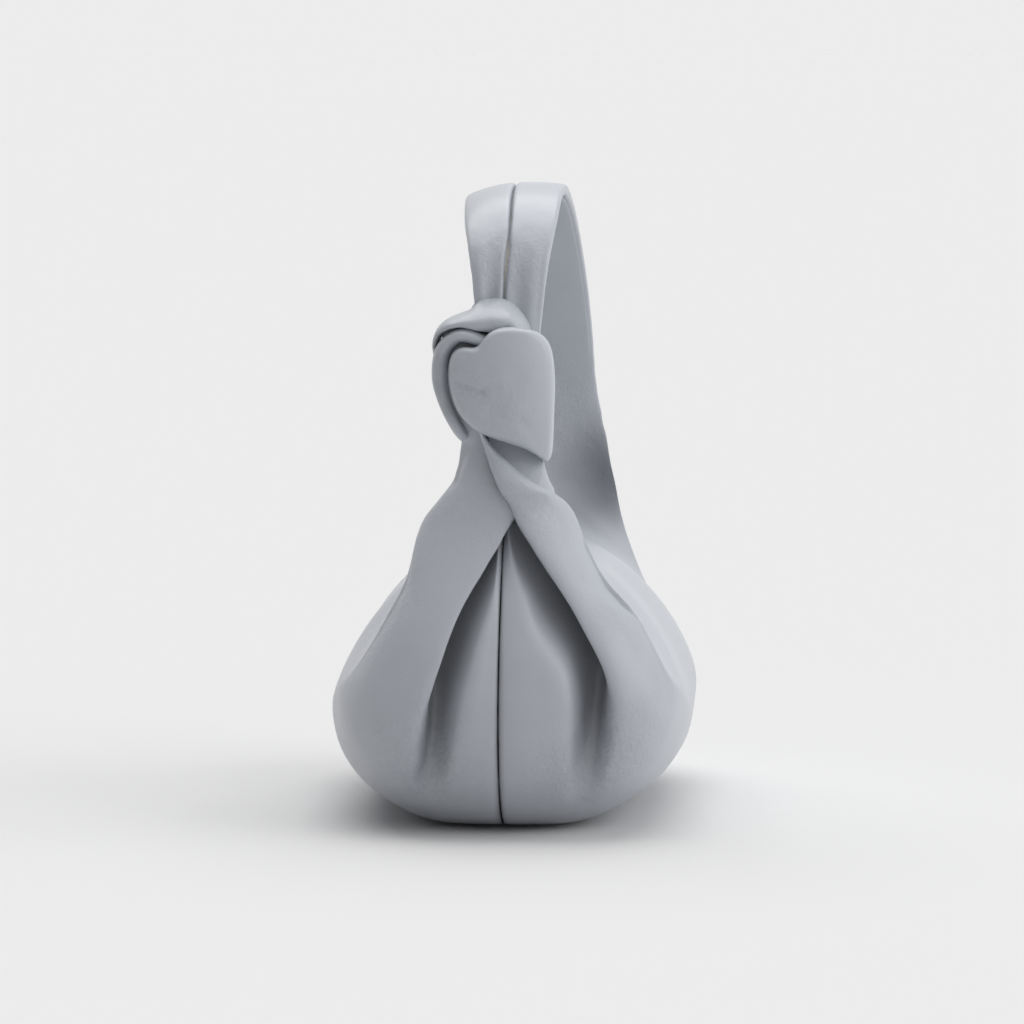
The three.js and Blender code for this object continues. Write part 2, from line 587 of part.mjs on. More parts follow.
// Half of an oval ring, on the side that a turn of the dividing seam leaves to it.
function halfOval(middle, width, thick, halfWidth, halfThick, turn, hand) {
  const start = turn + (hand > 0 ? -Math.PI / 2 : Math.PI / 2);
  const away = new THREE.Vector2(Math.cos(turn) * hand, Math.sin(turn) * hand);
  return evenSteps(0, Math.PI, NECK_ARC).map((step) => {
    const angle = start + step;
    const y = halfWidth * Math.cos(angle) + (away.x * CLEARANCE) / 2;
    const d = halfThick * Math.sin(angle) + (away.y * CLEARANCE) / 2;
    return middle.clone().addScaledVector(width, y).addScaledVector(thick, d);
  });
}

// The closed end of the pouch that a root grows from.
function neckFoot(end, slice) {
  const out = new THREE.Vector3(Math.sin(slice.angle), 0, -Math.cos(slice.angle));
  const up = new THREE.Vector3(Math.cos(slice.angle) * end.side, 0, Math.sin(slice.angle) * end.side);
  const middle = out.clone().multiplyScalar((slice.inner + slice.outer) / 2);
  middle.y = slice.lean;
  middle.z += HINGE_HEIGHT;
  return {
    middle: middle.addScaledVector(up, CLEARANCE),
    along: up,
    width: new THREE.Vector3(0, 1, 0),
    thick: out,
    halfWidth: slice.half,
    halfThick: (slice.outer - slice.inner) / 2,
  };
}

// Rings that swing from one frame into another, while the seam between the halves turns.
function neckHalf(foot, head, seamTurn, hand) {
  const reach = foot.middle.distanceTo(head.middle) * 0.4;
  const line = new THREE.CubicBezierCurve3(
    foot.middle, foot.middle.clone().addScaledVector(foot.along, reach),
    head.middle.clone().addScaledVector(head.along, -reach), head.middle);
  return loft(evenSteps(0, 1, NECK_STEPS).map((share) => {
    const ease = THREE.MathUtils.smoothstep(share, 0, 1);
    const width = foot.width.clone().lerp(head.width, ease).normalize();
    const thick = foot.thick.clone().lerp(head.thick, ease);
    thick.addScaledVector(width, -thick.dot(width)).normalize();
    return halfOval(line.getPoint(share), width, thick,
      THREE.MathUtils.lerp(foot.halfWidth, head.halfWidth, ease),
      THREE.MathUtils.lerp(foot.halfThick, head.halfThick, share ** 0.7), seamTurn * ease, hand);
  }));
}

const NEAR_SEAM_TURN = THREE.MathUtils.degToRad(60); // the right half comes to lie over the left one
const nearFoot = neckFoot(NEAR, SLICES.at(-1));
const nearHead = {
  ...knotIn,
  middle: knotIn.middle.clone().addScaledVector(knotIn.along, -CLEARANCE),
  thick: knotIn.thick.clone(),
};
if (nearHead.thick.dot(nearFoot.thick) < 0) nearHead.thick.negate();
for (const [label, hand] of Object.entries(HAND)) {
  addPiece(`near_neck_${label}`, neckHalf(nearFoot, nearHead, NEAR_SEAM_TURN, hand), SLATE);
}

// Strap: two outer leathers that meet along a middle seam, turned under at the edges over a webbing
// core, and a facing that closes the underside
const strapRoot = new THREE.Vector3(-(NECK_X - FAR_NECK_THICK / 2), FAR_NECK_LEAN, STRAP_ROOT_HEIGHT);
const strapApex = new THREE.Vector3(STRAP_TOP_X, 0, STRAP_TOP - STRAP_HALF_THICK);
const strapEnd = knotOut.middle.clone().addScaledVector(knotOut.along, CLEARANCE);
const farLeg = new THREE.CubicBezierCurve3(
  strapRoot, strapRoot.clone().add(new THREE.Vector3(8, 0, 0.5 * (STRAP_TOP - STRAP_ROOT_HEIGHT))),
  strapApex.clone().add(new THREE.Vector3(0.5 * strapRoot.x, 0, 0)), strapApex);
const nearLeg = new THREE.CubicBezierCurve3(
  strapApex, strapApex.clone().add(new THREE.Vector3(0.5 * (strapEnd.x - strapApex.x), 0, 0)),
  strapEnd.clone().addScaledVector(knotOut.along, 0.35 * strapEnd.distanceTo(strapApex)), strapEnd);
const strapLine = new THREE.CurvePath();
strapLine.add(farLeg);
strapLine.add(nearLeg);

function strapFrame(share) {
  const along = strapLine.getTangentAt(share);
  const width = new THREE.Vector3(0, 1, 0);
  width.addScaledVector(along, -width.dot(along)).normalize();
  const narrow = THREE.MathUtils.smoothstep(share, 0, 0.4);
  const bunch = THREE.MathUtils.smoothstep(share, 0.72, 1);
  const flat = THREE.MathUtils.lerp(STRAP_ROOT_WIDTH, STRAP_WIDTH, narrow);
  return {
    middle: strapLine.getPointAt(share),
    along,
    width,
    thick: along.clone().cross(width),
    half: THREE.MathUtils.lerp(flat, KNOT_ENTRY_WIDTH, bunch) / 2,
  };
}

function strapPiece(section) {
  return loft(evenSteps(0, 1, STRAP_STEPS).map((share) => {
    const frame = strapFrame(share);
    return section(frame.half).map(([y, d]) => frame.middle.clone()
      .addScaledVector(frame.width, y).addScaledVector(frame.thick, d));
  }));
}

// Outer leather in section: flat from the seam, round the edge and back under as a hem.
function turnedEdge(half, hand) {
  const h = STRAP_HALF_THICK;
  const arc = (radius, from, to) => evenSteps(from, to, 4).map((turn) => [
    half - h + radius * Math.cos(turn), radius * Math.sin(turn)]);
  const outside = [[CLEARANCE / 2, h], ...arc(h, Math.PI / 2, -Math.PI / 2), [half - STRAP_TURN, -h]];
  const r = h - STRAP_LEATHER;
  const inside = [[half - STRAP_TURN, -r], ...arc(r, -Math.PI / 2, Math.PI / 2), [CLEARANCE / 2, r]];
  return [...outside, ...inside].map(([y, d]) => [hand * y, -outward * d]);
}

function flatSection(halfWidth, low, high) {
  const upper = Math.max(low, high);
  const lower = Math.min(low, high);
  return [[-halfWidth, lower], [halfWidth, lower], [halfWidth, upper], [-halfWidth, upper]];
}

// The frame's thickness may point into the loop or out of it.
const top = strapFrame(0.5);
const outward = top.thick.z > 0 ? -1 : 1;
const coreHalf = STRAP_HALF_THICK - STRAP_LEATHER - CLEARANCE;
const under = STRAP_HALF_THICK + CLEARANCE;
addPiece('strap_left', strapPiece((half) => turnedEdge(half, -1)), SLATE);
addPiece('strap_right', strapPiece((half) => turnedEdge(half, 1)), SLATE);
addPiece('strap_core',
  strapPiece((half) => flatSection(half - STRAP_HALF_THICK, -coreHalf, coreHalf)), WEBBING);
addPiece('strap_facing',
  strapPiece((half) => flatSection(half - STRAP_HALF_THICK, outward * under,
    outward * (under + STRAP_FACING))), SLATE_INNER);

const farFoot = neckFoot(FAR, SLICES[0]);
const rootFrame = strapFrame(0);
const farHead = {
  ...rootFrame,
  middle: rootFrame.middle.clone().addScaledVector(rootFrame.along, -CLEARANCE),
  halfWidth: rootFrame.half,
  halfThick: STRAP_HALF_THICK,
};
if (farHead.thick.dot(farFoot.thick) < 0) farHead.thick.negate();
for (const [label, hand] of Object.entries(HAND)) {
  addPiece(`far_neck_${label}`, neckHalf(farFoot, farHead, 0, hand), SLATE);
}

export default bag;
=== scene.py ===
# %% [markdown]
# # A knotted strap bag in soft grey leather
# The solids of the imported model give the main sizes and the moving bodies. This lesson dresses them:
# it loads the solids, sets up the photograph's view, and then sews the soft leather over them.

# %% Load the frame
from math import acos, atan2, copysign, cos, degrees, exp, hypot, pi, radians, sin, sqrt

import bpy
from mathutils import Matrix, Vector, noise


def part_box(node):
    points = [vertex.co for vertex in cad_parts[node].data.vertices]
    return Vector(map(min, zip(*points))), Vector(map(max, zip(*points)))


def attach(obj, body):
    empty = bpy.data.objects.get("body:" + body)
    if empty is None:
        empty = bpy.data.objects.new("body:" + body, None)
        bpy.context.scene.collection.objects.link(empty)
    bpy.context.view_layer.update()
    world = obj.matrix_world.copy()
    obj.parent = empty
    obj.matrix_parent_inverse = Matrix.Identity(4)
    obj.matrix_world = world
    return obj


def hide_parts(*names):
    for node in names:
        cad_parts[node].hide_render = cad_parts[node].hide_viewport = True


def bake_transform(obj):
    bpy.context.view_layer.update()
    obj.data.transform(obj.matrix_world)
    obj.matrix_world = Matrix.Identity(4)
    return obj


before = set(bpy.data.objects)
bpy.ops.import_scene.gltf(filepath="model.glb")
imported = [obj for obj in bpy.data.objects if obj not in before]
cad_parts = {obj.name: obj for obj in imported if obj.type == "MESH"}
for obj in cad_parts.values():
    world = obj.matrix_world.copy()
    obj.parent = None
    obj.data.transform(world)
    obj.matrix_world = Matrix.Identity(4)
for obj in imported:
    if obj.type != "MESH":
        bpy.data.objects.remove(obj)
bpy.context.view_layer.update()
bpy.ops.object.select_all(action="DESELECT")

MM = 0.001

# %% [markdown]
# ## Camera
# The photograph looks at the knotted end, a little from the right and a little from above, through a
# long lens, so the far strap shows only just behind the near one.

# %% Camera
AIM = Vector((0.0, -0.002, 0.1165))
AZIMUTH, ELEVATION, DISTANCE = radians(93.5), radians(5.0), 2.4
LENS, SENSOR = 208.0, 36.0

camera_data = bpy.data.cameras.new("photo_camera")
camera_data.lens = LENS
camera_data.sensor_width = SENSOR
camera = bpy.data.objects.new("photo_camera", camera_data)
bpy.context.collection.objects.link(camera)
away = Vector((
    sin(AZIMUTH) * cos(ELEVATION),
    -cos(AZIMUTH) * cos(ELEVATION),
    sin(ELEVATION),
))
camera.location = AIM + DISTANCE * away
camera.rotation_euler = (-away).to_track_quat("-Z", "Y").to_euler()
bpy.context.scene.camera = camera
bpy.context.scene.view_settings.view_transform = "Standard"


# %% Node and colour helpers
def linear(hex_colour):
    channels = [int(hex_colour[i:i + 2], 16) / 255 for i in (1, 3, 5)]
    curve = [c / 12.92 if c <= 0.04045 else ((c + 0.055) / 1.055) ** 2.4 for c in channels]
    return (*curve, 1.0)


def node(owner, kind, links=None, **settings):
    """Adds one node, sets its properties or sockets, and links its inputs."""
    made = owner.node_tree.nodes.new(kind)
    for key, value in settings.items():
        if hasattr(made, key):
            setattr(made, key, value)
        else:
            made.inputs[key.replace("_", " ")].default_value = value
    for socket, source in (links or {}).items():
        owner.node_tree.links.new(source, made.inputs[socket])
    return made


def add_object(name, data):
    made = bpy.data.objects.new(name, data)
    bpy.context.collection.objects.link(made)
    return made


def new_material(name):
    material = bpy.data.materials.new(name)
    material.use_nodes = True
    material.node_tree.nodes.clear()
    return material


# %% [markdown]
# ## Floor and light
# A roll of pale paper under one very large overhead softbox: the floor is evenly lit, and only the
# bag's own soft shadow lies on it. A wide sun lamp stands for the softbox, because its light is as
# strong all over the floor, and the world stands for the pale room, lighter on the right.

# %% Floor, backdrop and light
PAPER, PAPER_BOUNCE = "#ECECEC", "#D6D6D6"
FLOOR_SIZE, FLOOR_DROP = 60.0, 0.0005
# The room's light, and how much more of it comes from the right.
ROOM_LIGHT, WINDOW_SIDE = 0.38, 0.7
SOFTBOX_TO = Vector((-0.42, -0.08, 1.0)).normalized()
SOFTBOX_ANGLE = radians(62)
WINDOW_TO = Vector((0.15, 1.0, 0.45)).normalized()
WINDOW_ANGLE = radians(60)
WINDOW_STRENGTH = 0.25 * pi
SOFTBOX_STRENGTH = ((1 - ROOM_LIGHT) * pi - WINDOW_STRENGTH * WINDOW_TO.z) / SOFTBOX_TO.z

paper = new_material("seamless_paper")
matte = node(paper, "ShaderNodeBsdfDiffuse", Color=linear(PAPER))
dim = node(paper, "ShaderNodeBsdfDiffuse", Color=linear(PAPER_BOUNCE))
bounced = node(paper, "ShaderNodeLightPath").outputs["Is Diffuse Ray"]
mixed = node(paper, "ShaderNodeMixShader", {0: bounced, 1: matte.outputs[0], 2: dim.outputs[0]})
node(paper, "ShaderNodeOutputMaterial", {"Surface": mixed.outputs[0]})

bpy.ops.mesh.primitive_plane_add(size=FLOOR_SIZE, location=(0, 0, -FLOOR_DROP))
floor = bpy.context.object
floor.name = "studio_floor"
floor.data.materials.append(paper)
floor.select_set(False)

world = bpy.data.worlds.new("studio_world")
bpy.context.scene.world = world
world.use_nodes = True
world.node_tree.nodes.clear()
path = node(world, "ShaderNodeLightPath")
seen = path.outputs["Is Camera Ray"]
for kind in ("Is Glossy Ray", "Is Transmission Ray"):
    seen = node(world, "ShaderNodeMath", {0: seen, 1: path.outputs[kind]}, operation="MAXIMUM").outputs[0]
facing = node(world, "ShaderNodeTexCoord")
facing = node(world, "ShaderNodeSeparateXYZ", {0: facing.outputs["Generated"]})
lit = node(world, "ShaderNodeMath", {0: facing.outputs["Y"]}, operation="MULTIPLY_ADD")
lit.inputs[1].default_value = WINDOW_SIDE * ROOM_LIGHT
lit.inputs[2].default_value = ROOM_LIGHT
room = node(world, "ShaderNodeBackground", {"Strength": lit.outputs[0]}, Color=(1, 1, 1, 1))
backdrop = node(world, "ShaderNodeBackground", Color=linear(PAPER), Strength=1.0)
sky = node(world, "ShaderNodeMixShader", {0: seen, 1: room.outputs[0], 2: backdrop.outputs[0]})
node(world, "ShaderNodeOutputWorld", {"Surface": sky.outputs[0]})

for name, toward, angle, strength in (
    ("overhead_softbox", SOFTBOX_TO, SOFTBOX_ANGLE, SOFTBOX_STRENGTH),
    ("side_window", WINDOW_TO, WINDOW_ANGLE, WINDOW_STRENGTH),
):
    lamp_data = bpy.data.lights.new(name, "SUN")
    lamp_data.angle, lamp_data.energy = angle, strength
    lamp = add_object(name, lamp_data)
    lamp.rotation_euler = (-toward).to_track_quat("-Z", "Y").to_euler()
print("softbox", round(SOFTBOX_STRENGTH, 2))

# %% [markdown]
# ## Leather
# Smooth grey nappa: calf leather finished with a thin pigment coat. It has a fine pebble grain, a low
# gloss, and fine creases where it is gathered.

# %% Leather material
NAPPA_GREY = "#BDC1C9"
# How dark the painted shade makes leather deep in a fold, and how much duller the leather is there; how far
# its tone and its gloss vary.
FOLD_PAINTED_SHADE, FOLD_DULL = 0.32, 0.4
CLOUD_DARK, CLOUD_PALE, CLOUD_GLOSS = 0.93, 1.06, 0.06


def leather(name, colour, roughness):
    """Nappa with pebble grain, painted shade in its folds, and wrinkles where the mesh is creased."""
    made = new_material(name)
    # Scales are to the metre: clouds of 26 mm, pebbles of 0.9 mm and wrinkles of 2.4 mm.
    place = node(made, "ShaderNodeTexCoord").outputs["Object"]
    creased = node(made, "ShaderNodeAttribute", attribute_name="crease").outputs["Fac"]
    folded = node(made, "ShaderNodeAttribute", attribute_name="fold").outputs["Fac"]
    cloud = node(made, "ShaderNodeTexNoise", {"Vector": place}, Scale=38.0, Detail=3.0)
    tone = node(made, "ShaderNodeMapRange", {"Value": cloud.outputs[0]}, To_Min=CLOUD_DARK, To_Max=CLOUD_PALE)
    # Painted shade: the colour is darkened by the fold attribute, most in folds, tucks and grooves.
    fold_shade = node(made, "ShaderNodeMapRange", {"Value": folded}, To_Min=1.0, To_Max=FOLD_PAINTED_SHADE)
    tone = node(made, "ShaderNodeMath", {0: tone.outputs[0], 1: fold_shade.outputs[0]}, operation="MULTIPLY")
    colour = node(made, "ShaderNodeMix", {"B": tone.outputs[0]}, data_type="RGBA", blend_type="MULTIPLY",
                  Factor=1.0, A=linear(colour))
    gloss = node(made, "ShaderNodeMapRange", {"Value": cloud.outputs[0]},
                 To_Min=roughness - CLOUD_GLOSS, To_Max=roughness + CLOUD_GLOSS)
    gloss = node(made, "ShaderNodeMath", {0: folded, 2: gloss.outputs[0]}, operation="MULTIPLY_ADD")
    gloss.inputs[1].default_value = FOLD_DULL
    pebble = node(made, "ShaderNodeTexVoronoi", {"Vector": place}, Scale=1150.0)
    grain = node(made, "ShaderNodeBump", {"Height": pebble.outputs[0]}, Strength=0.3, Distance=0.00012)
    wander = node(made, "ShaderNodeTexNoise", {"Vector": place}, Scale=420.0, Detail=4.0, Distortion=0.9)
    depth = node(made, "ShaderNodeMath", {0: wander.outputs[0], 1: creased}, operation="MULTIPLY")
    wrinkle = node(made, "ShaderNodeBump", {"Height": depth.outputs[0], "Normal": grain.outputs[0]},
                   Strength=0.9, Distance=0.0012)
    shader = node(made, "ShaderNodeBsdfPrincipled", {
        "Base Color": colour.outputs[2], "Roughness": gloss.outputs[0], "Normal": wrinkle.outputs[0]},
        Coat_Weight=0.26, Coat_Roughness=0.24)
    node(made, "ShaderNodeOutputMaterial", {"Surface": shader.outputs[0]})
    return made


nappa = leather("grey_nappa_leather", NAPPA_GREY, 0.4)
inner_leather = leather("inner_leather", NAPPA_GREY, 0.5)


# %% [markdown]
# ## The pouch's form
# The pouch is cut in slices that fan out, like an orange's, from the hinge line between the two
# strap roots. Each slice is a section from the end seam round the side to the lip beside the zip, so
# one grid of points covers a whole panel and a subdivision surface makes it soft.

# %% Pouch form
# Sizes in millimetres, after those of the solids. The skin sinks a little less at its base.
BAG_LENGTH, BAG_DEPTH, BASE_LENGTH, BASE_SINK = 250.0, 144.5, 150.0, 3.0
END_BULGE, SIDE_BULGE = 46.0, 38.0
MOUTH, NECK, HINGE, NECK_X = 108.0, 124.0, 150.0, 94.0
LIP_HALF, LIP_SHUT = 5.5, -0.6
ZIP_END = 59.0
# Angle in the fan against fullness: 1 is the bag's whole depth, 0 is the strap root's width.
NEAR_END = {
    "side": 1, "half": 24.0, "thick": 24.0,
    "full": {
        1: [(28, 1), (42, 0.94), (49, 0.84), (54, 0.71), (58.5, 0.54), (61, 0.36), (63, 0.29), (66, 0.2),
            (71, 0.1), (75, 0.05)],
        -1: [(18, 1), (30, 0.96), (42, 0.86), (49, 0.69), (54, 0.52), (58.5, 0.37), (61, 0.29),
             (63, 0.26), (68, 0.22), (71, 0.17), (75, 0.06)],
    },
}
FAR_FULL = [(28, 1), (40, 0.87), (47, 0.68), (52, 0.51), (57, 0.34), (60, 0.25), (64, 0.14),
            (68, 0.05), (75, 0)]
FAR_END = {"side": -1, "half": 30.5, "thick": 18.0, "full": {1: FAR_FULL, -1: FAR_FULL}}
# The far root leans to the right, from this share of the fan's angle on.
FAR_LEAN, LEAN_FROM = 5.0, 0.7
NECK_ANGLE = atan2(NECK_X, HINGE - NECK)
BELLY_CURVE, SHOULDER_CURVE = 2.15, 2.5
DOME_SLACK, SHOULDER_SLACK, SHOULDER_LIFT = 1.38, 2.0, 0.16
# How tightly the mouth turns into the roots' inner faces, and how far the skin stays off the floor.
MOUTH_CORNER, FLOOR_GAP = 12, 0.2


def lerp(a, b, t):
    return a + (b - a) * t


def ease(t, low=0.0, high=1.0):
    t = min(max((t - low) / (high - low), 0.0), 1.0)
    return t * t * (3 - 2 * t)


def curve_at(table, x):
    """Reads a value, or a point, from a table of rows that start with x."""
    if x <= table[0][0]:
        return table[0][1]
    for (x0, y0), (x1, y1) in zip(table, table[1:]):
        if x <= x1:
            return lerp(y0, y1, (x - x0) / (x1 - x0))
    return table[-1][1]


def keep_sign(value, power):
    """A power of the value's size, with its sign kept."""
    return copysign(abs(value) ** power, value)


def bezier(points, t):
    p0, p1, p2, p3 = points
    s = 1 - t
    return [s**3 * a + 3 * s * s * t * b + 3 * s * t * t * c + t**3 * d
            for a, b, c, d in zip(p0, p1, p2, p3)]


def end_outline():
    base, bulge, neck = (BASE_LENGTH / 2, -BASE_SINK), (BAG_LENGTH / 2, END_BULGE), (NECK_X, NECK)
    reach, rise = bulge[0] - base[0], neck[1] - bulge[1]
    toe = (base, (base[0] + 0.6 * reach, base[1]), (bulge[0], 0.4 * bulge[1]), bulge)
    shoulder = (bulge, (bulge[0], bulge[1] + 0.35 * rise), (neck[0] + 8, neck[1] - 0.3 * rise), neck)
    points = [(base[0] * k / 20, -BASE_SINK) for k in range(20)]
    points += [bezier(toe, k / 60) for k in range(60)]
    points += [bezier(shoulder, k / 80) for k in range(81)]
    return [(atan2(x, HINGE - z), hypot(x, HINGE - z)) for x, z in points]


OUTLINE = end_outline()


def slice_at(end, angle, hand):
    """The section of the pouch in one plane through the hinge line."""
    outer = curve_at(OUTLINE, angle)
    to_zip = (HINGE - MOUTH) / max(cos(angle), 1e-6)
    to_neck = (NECK_X - end["thick"]) / max(sin(angle), 1e-6)
    inner = (to_zip**-MOUTH_CORNER + to_neck**-MOUTH_CORNER) ** (-1 / MOUTH_CORNER)
    full = curve_at(end["full"][hand], degrees(angle))
    rise = angle / NECK_ANGLE
    share = lerp((HINGE - SIDE_BULGE - to_zip) / (HINGE - to_zip), 0.5, rise)
    shoulder = ease(rise, 0.45, 0.7) * (1 - ease(rise, 0.88, 1.0))
    share += SHOULDER_LIFT * shoulder
    zip_end = atan2(ZIP_END, HINGE - MOUTH)
    return {
        "angle": angle * end["side"], "rise": rise,
        "outer": outer, "inner": inner, "widest": inner + (outer - inner) * share,
        "half": end["half"] + (BAG_DEPTH / 2 - end["half"]) * full,
        "belly": lerp(BELLY_CURVE, SHOULDER_CURVE, ease(rise, 0.5, 0.85)),
        "slack": lerp(DOME_SLACK, SHOULDER_SLACK, shoulder),
        "lip": LIP_SHUT + (LIP_HALF - LIP_SHUT) * (1 - ease(angle, zip_end - 0.03, zip_end + 0.06)),
    }


def on_slice(cut, y, r, hand):
    x = r * sin(cut["angle"])
    z = HINGE - r * cos(cut["angle"])
    lean = FAR_LEAN * ease(-cut["angle"], LEAN_FROM * NECK_ANGLE, NECK_ANGLE)
    return Vector((x, hand * y + lean, max(z, FLOOR_GAP)))


def seam_height(cut):
    return HINGE - cut["outer"] * cos(cut["angle"])


def outer_r(cut, y):
    """How far out the plain section lies, at a distance from the seam."""
    n = cut["belly"]
    across = min(abs(y) / cut["half"], 1.0)
    return cut["widest"] + (cut["outer"] - cut["widest"]) * (1 - across**n) ** (1 / n)


def top_point(cut, share):
    """The plain section from the side (0) to the lip (1)."""
    turn = share * pi / 2
    y = cut["lip"] + (cut["half"] - cut["lip"]) * cos(turn)
    return y, cut["widest"] + (cut["inner"] - cut["widest"]) * sin(turn) ** cut["slack"]


# %% [markdown]
# ## Gathers at the knotted end
# Each panel is folded once beside the end seam, and the fold closes as it climbs to the knot. The
# tables give the fold's place and depth against height, as the photograph shows them.

# %% Gathers
FOLD_Y = {
    1: [(8, 39), (23, 42), (41, 44.5), (50, 43.5), (61, 40.4), (74, 33.5), (87, 26.7), (105, 14.7),
        (118.6, 5.1), (124, 2.6)],
    -1: [(8, 35), (24, 31), (36, 29.3), (50, 26.3), (65, 21), (80, 16.6), (88, 13.3), (100, 6.5), (111, -0.5),
         (117, -3.5), (124, -7)],
}
# The gusset billows up to the right fold half-way, so the valley is narrow there.
VALLEY = {
    1: [(60, 11), (66, 10.5), (70, 14.5), (75, 17), (80, 18), (87, 15), (105, 12)],
    -1: [(60, 11), (80, 10), (105, 10)],
}
FOLD_DEPTH = {
    1: [(4, 0), (12, 1), (22, 10), (36, 21), (50, 23), (60, 22), (66, 25), (74, 29), (80, 27), (88, 21),
        (106, 18), (124, 12)],
    -1: [(4, 0), (12, 1), (22, 10), (36, 18), (60, 24), (84, 24), (100, 17), (124, 12)],
}
# How the gusset drops into the valley: share of the valley's width against share of its depth.
VALLEY_DROP = {1: ((0.12, 0.5), (0.45, 1.0)), -1: ((0.3, 0.4), (0.68, 0.95))}
# Low down the folds end in open dents: middle inside the fold, and width. The section gives a share
# of the width against one of the depth.
DENT = {1: (7.0, 20.0), -1: (5.0, 17.0)}
DENT_SECTION = ((-0.5, 0), (-0.34, 0.22), (-0.17, 0.78), (0, 1), (0.14, 0.8), (0.28, 0.25), (0.44, -0.1))
FOLD_SHUT = {1: [(46, 0.0), (62, 1.0)], -1: [(36, 0.0), (60, 1.0)]}
FOLD_OVER = [(42, 4.5), (60, 6), (72, 7), (90, 7), (104, 6), (124, 5)]
GUSSET_SWELL = {
    1: [(30, 0), (50, 1.5), (60, 4), (72, 4.5), (82, 3), (95, 1), (110, 0)],
    -1: [(30, 0), (60, 1), (90, 0.5), (110, 0)],
}
FOLD_LIFT = {
    1: [(8, 0), (30, 2), (60, 4), (100, 5), (124, 6)],
    -1: [(8, 0), (30, 2), (60, 4), (100, 3.5), (117, 2), (124, 0)],
}
FLAP_RIDGE = {1: 2.0, -1: 0.8}
CENTRE_SINK = [(20, 0), (60, 1.5), (84, 4), (100, 8), (117, 13), (124, 14)]
# The turned-in edge beside a seam: distance from the seam and depth.
NEAR_SEAM, SEAM = ((0.2, 2.2), (0.8, 0.1)), ((0.15, 2.2), (0.7, 0.1))
# The folded points' least distances from the seam, and the flap's nose past its fold.
LEAST_FLAT, LEAST_DROP, LEAST_OVER, NOSE = 1.7, (2.2, 2.7), 3.1, 4.2
# Steps from the side up to the lip, and the lip's turned-under edge: inwards and down.
TOP_STEPS = (0.0, 0.1, 0.28, 0.48, 0.68, 0.84, 0.95, 1.0)
LIP_EDGE = ((0.2, 2.4), (7, 2.6))
# The far end's shallow fold: its greatest distance from the seam and depth, and its section.
FAR_FOLD_Y, FAR_FOLD_DEPTH, FAR_FOLD_HEIGHTS = 40.0, 4.0, (6, 60)
FAR_FOLD = ((0.22, 0), (0.45, 0), (0.68, 0.1), (0.86, 0.6), (1.0, 1.0), (1.12, 0.7), (1.26, 0.1))


def near_row(cut, hand):
    height = seam_height(cut)
    fold, valley, depth, shut, swell, lift = (curve_at(table[hand], height) for table in (
        FOLD_Y, VALLEY, FOLD_DEPTH, FOLD_SHUT, GUSSET_SWELL, FOLD_LIFT))
    over, sink = curve_at(FOLD_OVER, height), curve_at(CENTRE_SINK, height)
    flat = max(fold - valley, 0.25 * fold, LEAST_FLAT)
    base = outer_r(cut, max(fold, 0))
    inset, width = DENT[hand]

    def middle(y):
        return outer_r(cut, y) - sink * (1 - 0.3 * y / flat) + swell * ease(y / flat)

    low = base - depth
    folded = [(flat, middle(flat))]
    for (across, drop), least in zip(VALLEY_DROP[hand], LEAST_DROP):
        folded.append((max(lerp(flat, fold, across), least), lerp(middle(flat), low, drop)))
    folded += [(max(fold + over, LEAST_OVER), low), (fold + over + 0.4, base - 0.45 * depth),
               (fold, base - 1.2 + 0.35 * lift), (fold + NOSE, outer_r(cut, fold + NOSE) + lift)]
    dent = []
    for across, drop in DENT_SECTION:
        y = fold - inset + across * width
        dent.append((y, outer_r(cut, y) - sink + swell * (1 - abs(2 * across)) - drop * depth))
    row = [(y, middle(0) - d) for y, d in NEAR_SEAM]
    flat = lerp(dent[0][0], folded[0][0], shut)
    row.append((max(0.5 * flat, 1.2), middle(0.5 * flat)))
    row += [(lerp(a[0], b[0], shut), lerp(a[1], b[1], shut)) for a, b in zip(dent, folded)]
    front = row[-1][0]
    ridge = FLAP_RIDGE[hand] * ease(height, 55, 75) * (1 - ease(height, 105, 122))
    for share, rise in ((0.35, ridge), (0.7, 0), (0.93, 0)):
        y = lerp(front, cut["half"], share)
        row.append((y, outer_r(cut, y) + lift * (1 - share) ** 1.2 + rise))
    return row + top_row(cut)


def top_row(cut):
    row = [top_point(cut, share) for share in TOP_STEPS]
    return row + [(cut["lip"] + y, cut["inner"] + d) for y, d in LIP_EDGE]


def far_row(cut):
    fold = min(FAR_FOLD_Y, 0.5 * cut["half"])
    depth = FAR_FOLD_DEPTH * ease(seam_height(cut), *FAR_FOLD_HEIGHTS)
    row = [(y, outer_r(cut, 0) - d) for y, d in SEAM]
    for y, sink in FAR_FOLD:
        row.append((fold * y, outer_r(cut, fold * y) - sink * depth))
    start = FAR_FOLD[-1][0] * fold
    for share in (0.16, 0.4, 0.66, 0.88):
        y = lerp(start, cut["half"], share)
        row.append((y, outer_r(cut, y)))
    return row + top_row(cut)


# %% [markdown]
# ## The crossed strap roots
# Above the apex of the folds the left panel makes a flat tube that runs straight up into the knot.
# The right panel narrows to a band that lies over that tube, slants across it and slips under the
# knot's front. Below, both grow out of the last slices of the pouch.

# %% Strap roots
KNOT_AT = Vector((76.0, -4.0, 180.0))
STRAP_ROOT = Vector((-(NECK_X - FAR_END["thick"] / 2), FAR_LEAN, 166.0))
STRAP_HALF = [(0, 22.8), (0.25, 21.4), (0.5, 20.5), (0.6, 20), (0.75, 18.8), (0.85, 16.4),
              (0.9, 14.8), (1, 11.5)]
STEPS_ROUND = (0.0, 0.05, 0.14, 0.26, 0.38, 0.5, 0.6, 0.7, 0.79, 0.87, 0.94, 0.98, 1.0)
INSIDE = (0.2, 0.22, 0.26, 0.32, 0.4, 0.5, 0.6, 0.74)
# Share of the root's height against the angle of the left tube's two edges, from its front.
TUBE_EDGES = ([(0, 8), (0.16, 35), (0.3, 60), (0.6, 82), (1, 88)],
              [(0, -178), (0.16, -190), (0.3, -225), (0.6, -255), (1, -265)])
